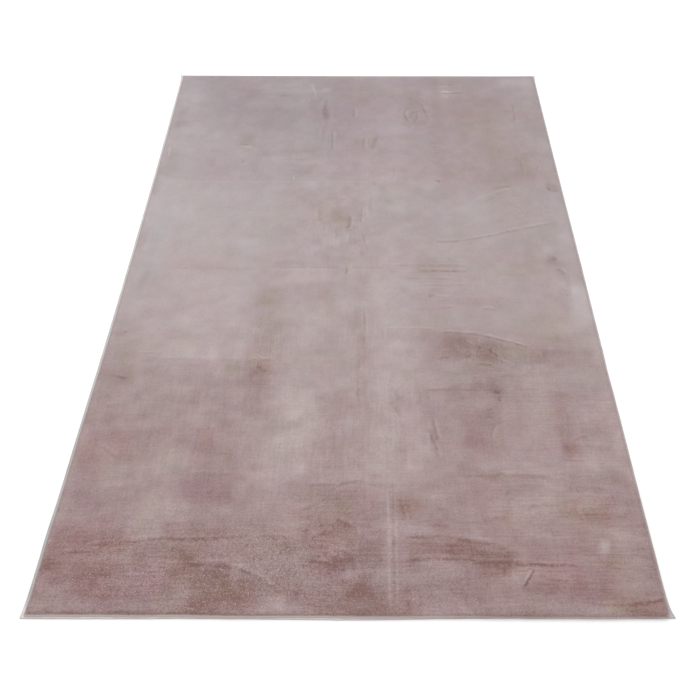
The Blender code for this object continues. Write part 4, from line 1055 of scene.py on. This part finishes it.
def pileMaterial(name, look):
    # the same yarn on the cloth and on the locks that stand on it
    material, tree, shader = newMaterial(name, **yarn)

    def calc(operation, *values):
        return mathNode(tree, operation, *values)

    read = {label: attribute(tree, label) for label in (*napLabels, "inset")}
    marks = placeGroup(tree, napMarks, **{label.capitalize(): read[label] for label in markLabels})
    deep = calc("MULTIPLY_ADD", marks["Change"], read["plain"], read["deep"])
    ramped = calc("MULTIPLY", marks["Change"], calc("SUBTRACT", 1.0, read["plain"]))
    shade = calc("ADD", read["shade"], ramped)
    # painted shade in the seam's groove, a little in from the edge
    soilAndSeamShade = calc("DIVIDE", calc("SUBTRACT", read["inset"], seam["soilAndSeamShade"]), seam["seamShadeWidth"])
    soilAndSeamShade = calc("MULTIPLY", bell(tree, soilAndSeamShade), read["soilAndSeamShade"])
    shade = calc("MULTIPLY_ADD", soilAndSeamShade, seam["seamShadeStrength"], shade)
    if look["isLock"]:
        strength = calc("MULTIPLY_ADD", read["speckle"], look["own"], look["ownLeast"])
        deep = calc("MULTIPLY_ADD", attribute(tree, "own"), strength, deep)
        # painted shade at each lock's root, paler toward its tip
        deep = calc("MULTIPLY_ADD", attribute(tree, "tip"), -look["tip"], calc("ADD", deep, look["root"]))
    colour = placeGroup(tree, napColour, Shade=shade, Deep=deep, Warmth=read["warmth"], Blush=read["blush"],
                        Rose=read["rose"])["Color"]
    if not look["isLock"]:
        # the hem's colour, with its painted highlight and shade, paled by painted light away from the front
        # edge
        hem = colourRamp(tree, calc("MULTIPLY", read["inset"], 100),
                         [(place, fromCodes(*codes)) for place, *codes in seam["hem"]])
        tint = mixColours(tree, attribute(tree, "untinted"), seam["tint"], (1, 1, 1, 1))
        hem = mixColours(tree, 1.0, hem, tint, "MULTIPLY")
        onHem = ranged(tree, read["inset"], *seam["hemEnd"], 1.0, 0.0)
        share = calc("MULTIPLY_ADD", read["soilAndSeamShade"], 1 - seam["hemLeast"], seam["hemLeast"])
        colour = mixColours(tree, calc("MULTIPLY", onHem, share), colour, hem)
    tree.links.new(colour, shader.inputs["Base Color"])
    addBump(tree, shader, marks["Height"], look["bump"], yarnRelief)
    return material


centreOnFrame(pileCut)
centreOnFrame(backingCut)

data, x, y, inset = gridSheet("pileCloth", pileCut, pileRelief)
setNap(data)
setFloats(data, "inset", inset)
# painted light on the hem: none at the front edge, some on the front of the sides, all of it further back
tinted = seam["tintFront"] + (1 - seam["tintFront"]) * fade(y, *seam["tintWhole"])
setFloats(data, "untinted", 1 - fade(y, *seam["tintFrom"]) * tinted)
bakeMap(data)
pileCloth = addPiece("pileCloth", data, pileMaterial("plushPile", {"isLock": False, "bump": 0.5}))
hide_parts("pile_cloth")


locks = {
    "pieces": 4,
    "each": 46000,
    "length": 0.0078,
    "width": 0.0042,
    "height": 0.0006,
    "sunk": 0.0006,             # how far the root is under the cloth's top
    "lean": (5.0, 2.0),         # degrees above the cloth, and how much that varies
    "roll": 6.0,
    "drift": 25.0,              # degrees whole patches turn
    "driftLump": (0.10, 0.12),
    "wander": 34.0,             # degrees each lock turns from its neighbours
    "turnsAt": (0.50, 0.68),    # shades between which locks turn from the back to the front
    "turnSpread": 0.05,
    "size": (0.75, 1.20),
    "girth": (0.8, 1.2),
    "shake": 0.48,              # how far a root leaves its place in the grid, in cells
    "inset": 0.0072,            # no lock grows nearer the edge than this
    "smallTo": 0.013,           # and nearer than this they are smaller
    "small": 0.7,
}
lockLook = {
    "isLock": True,
    "own": 0.028,               # how much deeper or paler one lock is than another, where the tips glint
    "ownLeast": 0.004,          # and elsewhere
    "tip": 0.03,                # how much paler the tip is than the root: painted shade deep at the root
    # painted shade added to every lock; the tip's paling outweighs it at the tip
    "root": 0.021,
    "bump": 0.4,
}


def makeLock():
    # one lock of fibres: a long three-sided point that lies along +Y
    shape = bmesh.new()
    bmesh.ops.create_cone(shape, cap_ends=True, segments=3, radius1=1.0, radius2=0.0, depth=1.0)
    bmesh.ops.translate(shape, vec=(0, 0, 0.5), verts=shape.verts)
    bmesh.ops.rotate(shape, matrix=Matrix.Rotation(math.radians(-90), 3, "X"), verts=shape.verts)
    bmesh.ops.rotate(shape, matrix=Matrix.Rotation(math.radians(180), 3, "Y"), verts=shape.verts)
    slim = (locks["width"] / 1.732, locks["length"], locks["height"] / 1.5)     # a triangle's side and height
    bmesh.ops.scale(shape, vec=slim, verts=shape.verts)
    data = meshFrom(shape, "lock")
    setFloats(data, "tip", [vertex.co.y / locks["length"] for vertex in data.vertices])
    return bpy.data.objects.new("lock", data)


def meshFrom(shape, name):
    # a closed shape's mesh, its faces turned outward
    bmesh.ops.recalc_face_normals(shape, faces=shape.faces)
    data = bpy.data.meshes.new(name)
    shape.to_mesh(data)
    shape.free()
    return data


def growOn(name, instance, points, floats, turns, sizes):
    # puts one copy of a small shape on every point, as one mesh
    data = bpy.data.meshes.new(name + "Roots")
    data.vertices.add(len(points))
    data.vertices.foreach_set("co", points.ravel())
    for label, values in floats.items():
        setFloats(data, label, values)
    for label, values in (("turn", turns), ("size", sizes)):
        layer = data.attributes.new(label, "FLOAT_VECTOR", "POINT")
        layer.data.foreach_set("vector", values.astype(np.float32).ravel())
    roots = bpy.data.objects.new(name + "Roots", data)
    bpy.context.scene.collection.objects.link(roots)

    tree = bpy.data.node_groups.new(name + "Nodes", "GeometryNodeTree")
    tree.interface.new_socket("Geometry", in_out="INPUT", socket_type="NodeSocketGeometry")
    tree.interface.new_socket("Geometry", in_out="OUTPUT", socket_type="NodeSocketGeometry")
    start, end, toPoints, source, onPoints, realize = (tree.nodes.new(kind) for kind in (
        "NodeGroupInput", "NodeGroupOutput", "GeometryNodeMeshToPoints", "GeometryNodeObjectInfo",
        "GeometryNodeInstanceOnPoints", "GeometryNodeRealizeInstances"))
    source.inputs["Object"].default_value = instance
    tree.links.new(start.outputs[0], toPoints.inputs["Mesh"])
    tree.links.new(toPoints.outputs["Points"], onPoints.inputs["Points"])
    tree.links.new(source.outputs["Geometry"], onPoints.inputs["Instance"])
    for label, socket in (("turn", "Rotation"), ("size", "Scale")):
        read = tree.nodes.new("GeometryNodeInputNamedAttribute")
        read.data_type = "FLOAT_VECTOR"
        read.inputs["Name"].default_value = label
        tree.links.new(read.outputs["Attribute"], onPoints.inputs[socket])
    tree.links.new(onPoints.outputs["Instances"], realize.inputs["Geometry"])
    last = realize.outputs[0]
    for label in ("turn", "size"):
        remove = tree.nodes.new("GeometryNodeRemoveAttribute")
        remove.inputs["Name"].default_value = label
        tree.links.new(last, remove.inputs["Geometry"])
        last = remove.outputs[0]
    tree.links.new(last, end.inputs[0])
    roots.modifiers.new("grow", "NODES").node_group = tree
    graph = bpy.context.evaluated_depsgraph_get()
    grown = bpy.data.meshes.new_from_object(roots.evaluated_get(graph), preserve_all_data_layers=True,
                                            depsgraph=graph)
    bpy.data.objects.remove(roots, do_unlink=True)
    return grown


def lockRoots(rng):
    # a shaken grid of roots over the whole cloth, in rows from the front
    width, length = cutSize(pileCut)
    clear = locks["inset"]
    total = locks["pieces"] * locks["each"]
    spacing = math.sqrt((width - 2 * clear) * (length - 2 * clear) / total)
    columns = int((width - 2 * clear) / spacing)
    rows = total // columns
    i, j = np.meshgrid(np.arange(columns), np.arange(rows))
    shake = rng.uniform(-locks["shake"], locks["shake"], (2, rows, columns))
    a = clear + (i + 0.5 + shake[0]) * (width - 2 * clear) / columns
    b = clear + (j + 0.5 + shake[1]) * (length - 2 * clear) / rows
    return a.ravel(), b.ravel()


rng = np.random.default_rng(5)
a, b = lockRoots(rng)
x, y = placed(pileCut, a, b)
inset = insetOf(pileCut, a, b)
lie = brushed(x, y)
rimInset, rimHeight = np.array(pileCut["rim"]).T
relief = lie["height"] * fade(inset, *pileCut["reliefFrom"])
z = np.interp(inset, rimInset, rimHeight) + relief - locks["sunk"]
# a dark nap leans to the front and a pale one to the back, with a mix between
count = len(x)
towardsFront = rng.random(count) < fade(lie["shade"] + rng.normal(0, locks["turnSpread"], count),
                                        *locks["turnsAt"])
turn = np.radians(locks["drift"] * softNoise(x, y, *locks["driftLump"], 51)
                  + locks["wander"] * rng.normal(0, 1, count))
turn = turn + np.where(towardsFront, math.pi, 0)
lean = np.radians(locks["lean"][0] + rng.normal(0, locks["lean"][1], count))
roll = np.radians(rng.normal(0, locks["roll"], count))
big = rng.uniform(*locks["size"], count) * np.where(inset < locks["smallTo"], locks["small"], 1.0)
turns = np.stack([lean, roll, turn], axis=1)
sizes = np.stack([big * rng.uniform(*locks["girth"], count), big,
                  big * rng.uniform(*locks["girth"], count)], axis=1)
roots = np.stack([x, y, z], axis=1)
own = rng.normal(0, 1, count)
lockShape = makeLock()
lockFinish = pileMaterial("plushLocks", lockLook)
for k in range(locks["pieces"]):
    part = slice(k * count // locks["pieces"], (k + 1) * count // locks["pieces"])
    name = "pileLocks%d" % (k + 1)
    grown = growOn(name, lockShape, roots[part], {"own": own[part], "inset": inset[part]},
                   turns[part], sizes[part])
    setNap(grown)
    bakeMap(grown)
    addPiece(name, grown, lockFinish)
bpy.data.objects.remove(lockShape)


stitch = {
    "pitch": 0.0060,
    "length": 0.0046,
    "thick": 0.0009,
    "dip": 0.0007,              # how far its ends go down
    "inset": 0.0056,
    "height": 0.0058,
    "crooked": 0.05,            # how unevenly the stitches are turned, in radians
    "thread": [(0.3, 150, 134, 132), (0.7, 182, 168, 166)],
    "twist": (900, 900, 900),
    "bump": (0.4, 0.0003),      # strength, depth
}


def makeStitch():
    # one stitch of thread, whose ends dip into the cloth
    shape = bmesh.new()
    radius = stitch["thick"] / 2
    made = bmesh.ops.create_cone(shape, cap_ends=True, segments=5, radius1=radius, radius2=radius,
                                 depth=stitch["length"])
    bmesh.ops.rotate(shape, matrix=Matrix.Rotation(math.radians(90), 3, "Y"), verts=made["verts"])
    sides = [edge for edge in shape.edges if abs(edge.verts[0].co.x - edge.verts[1].co.x) > radius]
    bmesh.ops.subdivide_edges(shape, edges=sides, cuts=2, use_grid_fill=True)
    for vertex in shape.verts:
        share = abs(vertex.co.x) / (stitch["length"] / 2)
        vertex.co.z -= stitch["dip"] * share ** 2
    data = meshFrom(shape, "stitch")
    data.shade_smooth()
    return bpy.data.objects.new("stitch", data)


def seamPoints():
    # the middle of every stitch and the way it runs, all round the cloth
    width, length = cutSize(pileCut)
    inset = stitch["inset"]
    right = width - inset
    back = length - inset
    corners = [(inset, inset), (right, inset), (right, back), (inset, back)]
    points = []
    turns = []
    for (a0, b0), (a1, b1) in zip(corners, corners[1:] + corners[:1]):
        count = round(math.hypot(a1 - a0, b1 - b0) / stitch["pitch"])
        share = (np.arange(count) + 0.5) / count
        step = 0.3 / count      # half the distance over which its way is read
        (x0, y0), (x1, y1) = (placed(pileCut, a0 + (a1 - a0) * place, b0 + (b1 - b0) * place)
                              for place in (share - step, share + step))
        points.append(np.stack([(x0 + x1) / 2, (y0 + y1) / 2, np.full(count, stitch["height"])], axis=1))
        turns.append(np.stack([0 * x0, 0 * x0, np.arctan2(y1 - y0, x1 - x0)], axis=1))
    return np.concatenate(points), np.concatenate(turns)


def threadMaterial():
    material, tree, shader = newMaterial("seamThread", 0.7, sheen=0.1)
    twist = noiseNode(tree, stitch["twist"])
    colour = colourRamp(tree, twist, [(place, fromCodes(*codes)) for place, *codes in stitch["thread"]])
    tree.links.new(colour, shader.inputs["Base Color"])
    addBump(tree, shader, twist, *stitch["bump"])
    return material


points, turns = seamPoints()
turns[:, 2] += rng.normal(0, stitch["crooked"], len(points))
stitchShape = makeStitch()
grown = growOn("edgeStitches", stitchShape, points, {}, turns, np.ones((len(points), 3)))
bakeMap(grown)
edgeStitches = addPiece("edgeStitches", grown, threadMaterial())
bpy.data.objects.remove(stitchShape)


felt = {
    "thin": (214, 207, 205),
    "thick": (226, 220, 218),
    "soiled": (236, 231, 229),
    "grey": (206, 210, 211),    # painted shade that dulls it away from its lit stretches
    "brightFront": (-1.14, -1.10),       # along the rug, where the lit front edge ends
    "brightFrontX": (0.1, 0.5),          # across the rug, and where it ends to the right
    "brightSides": 0.35,                 # how lit the sides are, from the middle to the back
    "brightSidesY": (-0.75, -0.35),
    "brightSidesX": (0.76, 0.78),
    # painted shadow along the outer edge, and how wide it is
    "edge": (122, 112, 112),
    "edgeShadowWidth": 0.0014,
    "ripple": 0.00012,
    "rippleLump": 0.020,
    "flatFrom": (0.006, 0.012),         # in from the edge, where the pile presses it flat
    "fibres": (700, 700, 700),
    "soil": (30, 30, 30),
    "bump": (0.5, 0.0004),
}


def backingRelief(x, y, inset):
    # the free strip ripples a little, and what the pile covers lies flat
    wave = softNoise(x, y, felt["rippleLump"], felt["rippleLump"], 61)
    return felt["ripple"] * wave * (1 - fade(inset, *felt["flatFrom"])) - felt["ripple"]


def backingMaterial():
    # a pale felted cloth, soiled at random, with painted shade away from its lit stretches and a painted
    # shadow along its slightly frayed outer edge
    material, tree, shader = newMaterial("backingFelt", 0.9, sheen=0.15)
    fibres = noiseNode(tree, felt["fibres"], detail=3, roughness=0.6)
    soil = noiseNode(tree, felt["soil"], detail=2)
    pale = colourRamp(tree, fibres, [(0.3, fromCodes(*felt["thin"])), (0.7, fromCodes(*felt["thick"]))])
    soilAndSeamShade = colourRamp(tree, soil, [(0.4, (1, 1, 1, 1)), (0.75, fromCodes(*felt["soiled"]))])
    colour = mixColours(tree, 1.0, pale, soilAndSeamShade, "MULTIPLY")
    # painted shade dulls it away from its lit stretches
    dull = mixColours(tree, attribute(tree, "untinted"), fromCodes(*felt["grey"]), (1, 1, 1, 1))
    colour = mixColours(tree, 1.0, colour, dull, "MULTIPLY")
    # a painted shadow along the outer edge
    outer = ranged(tree, attribute(tree, "inset"), 0.0, felt["edgeShadowWidth"], 0.9, 0.0)
    colour = mixColours(tree, outer, colour, fromCodes(*felt["edge"]))
    tree.links.new(colour, shader.inputs["Base Color"])
    addBump(tree, shader, fibres, *felt["bump"])
    return material


data, x, y, inset = gridSheet("backingCloth", backingCut, backingRelief)
setFloats(data, "inset", inset)
# painted light keeps the front strip and part of the sides bright, and painted shade dulls the rest
front = (1 - fade(y, *felt["brightFront"])) * (1 - fade(x, *felt["brightFrontX"]))
sides = fade(y, *felt["brightSidesY"]) * fade(np.abs(x), *felt["brightSidesX"])
setFloats(data, "untinted", front + felt["brightSides"] * sides)
bakeMap(data)
backingCloth = addPiece("backingCloth", data, backingMaterial())
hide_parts("backing_cloth")


studio = {
    "floorSize": 14.0,
    "floorGap": 0.0002,
    "floorColour": (0.91, 0.91, 0.91, 1),
    "worldStrength": 1.0,
    "keySize": 3.0,
    "keyPower": 60.0,
    "keyPlace": (-0.8, 2.2, 3.2),
}


def addFloor():
    shape = bmesh.new()
    bmesh.ops.create_grid(shape, x_segments=8, y_segments=8, size=studio["floorSize"] / 2)
    bmesh.ops.translate(shape, vec=(0, 0, cadBox[0][2] - studio["floorGap"]), verts=shape.verts)
    data = bpy.data.meshes.new("floor")
    shape.to_mesh(data)
    shape.free()
    material, _, shader = newMaterial("paleFloor", 0.9)
    shader.inputs["Base Color"].default_value = studio["floorColour"]
    data.materials.append(material)
    floor = bpy.data.objects.new("floor", data)
    bpy.context.scene.collection.objects.link(floor)


def addLights():
    world = bpy.data.worlds.new("studio")
    bpy.context.scene.world = world
    world.use_nodes = True
    sky = world.node_tree.nodes["Background"].inputs
    sky["Color"].default_value = (1, 1, 1, 1)
    sky["Strength"].default_value = studio["worldStrength"]
    light = bpy.data.lights.new("softbox", "AREA")
    light.shape = "DISK"
    light.size = studio["keySize"]
    light.energy = studio["keyPower"]
    lamp = bpy.data.objects.new("softbox", light)
    lamp.location = studio["keyPlace"]
    lamp.rotation_euler = Vector(studio["keyPlace"]).to_track_quat("Z", "Y").to_euler()
    bpy.context.scene.collection.objects.link(lamp)


view = {
    "place": (0.0544, -1.4464, 1.6282),
    "pitch": 34.093,            # degrees up from straight down
    "yaw": -0.149,
    "roll": 0.204,
    "lens": 31.842,
    "shift": -0.0330,
}


def addCamera():
    camera = bpy.data.cameras.new("camera")
    camera.lens = view["lens"]
    camera.sensor_width = 36.0
    camera.shift_x = view["shift"]
    camera.clip_start = 0.01
    camera.clip_end = 50.0
    stand = bpy.data.objects.new("camera", camera)
    turn = Matrix.Identity(4)
    for label, axis in (("yaw", "Z"), ("pitch", "X"), ("roll", "Z")):
        turn = turn @ Matrix.Rotation(math.radians(view[label]), 4, axis)
    stand.matrix_world = Matrix.Translation(view["place"]) @ turn
    bpy.context.scene.collection.objects.link(stand)
    bpy.context.scene.camera = stand


addFloor()
addLights()
addCamera()
bpy.context.scene.view_settings.view_transform = "Standard"
print("floor, light and camera set")
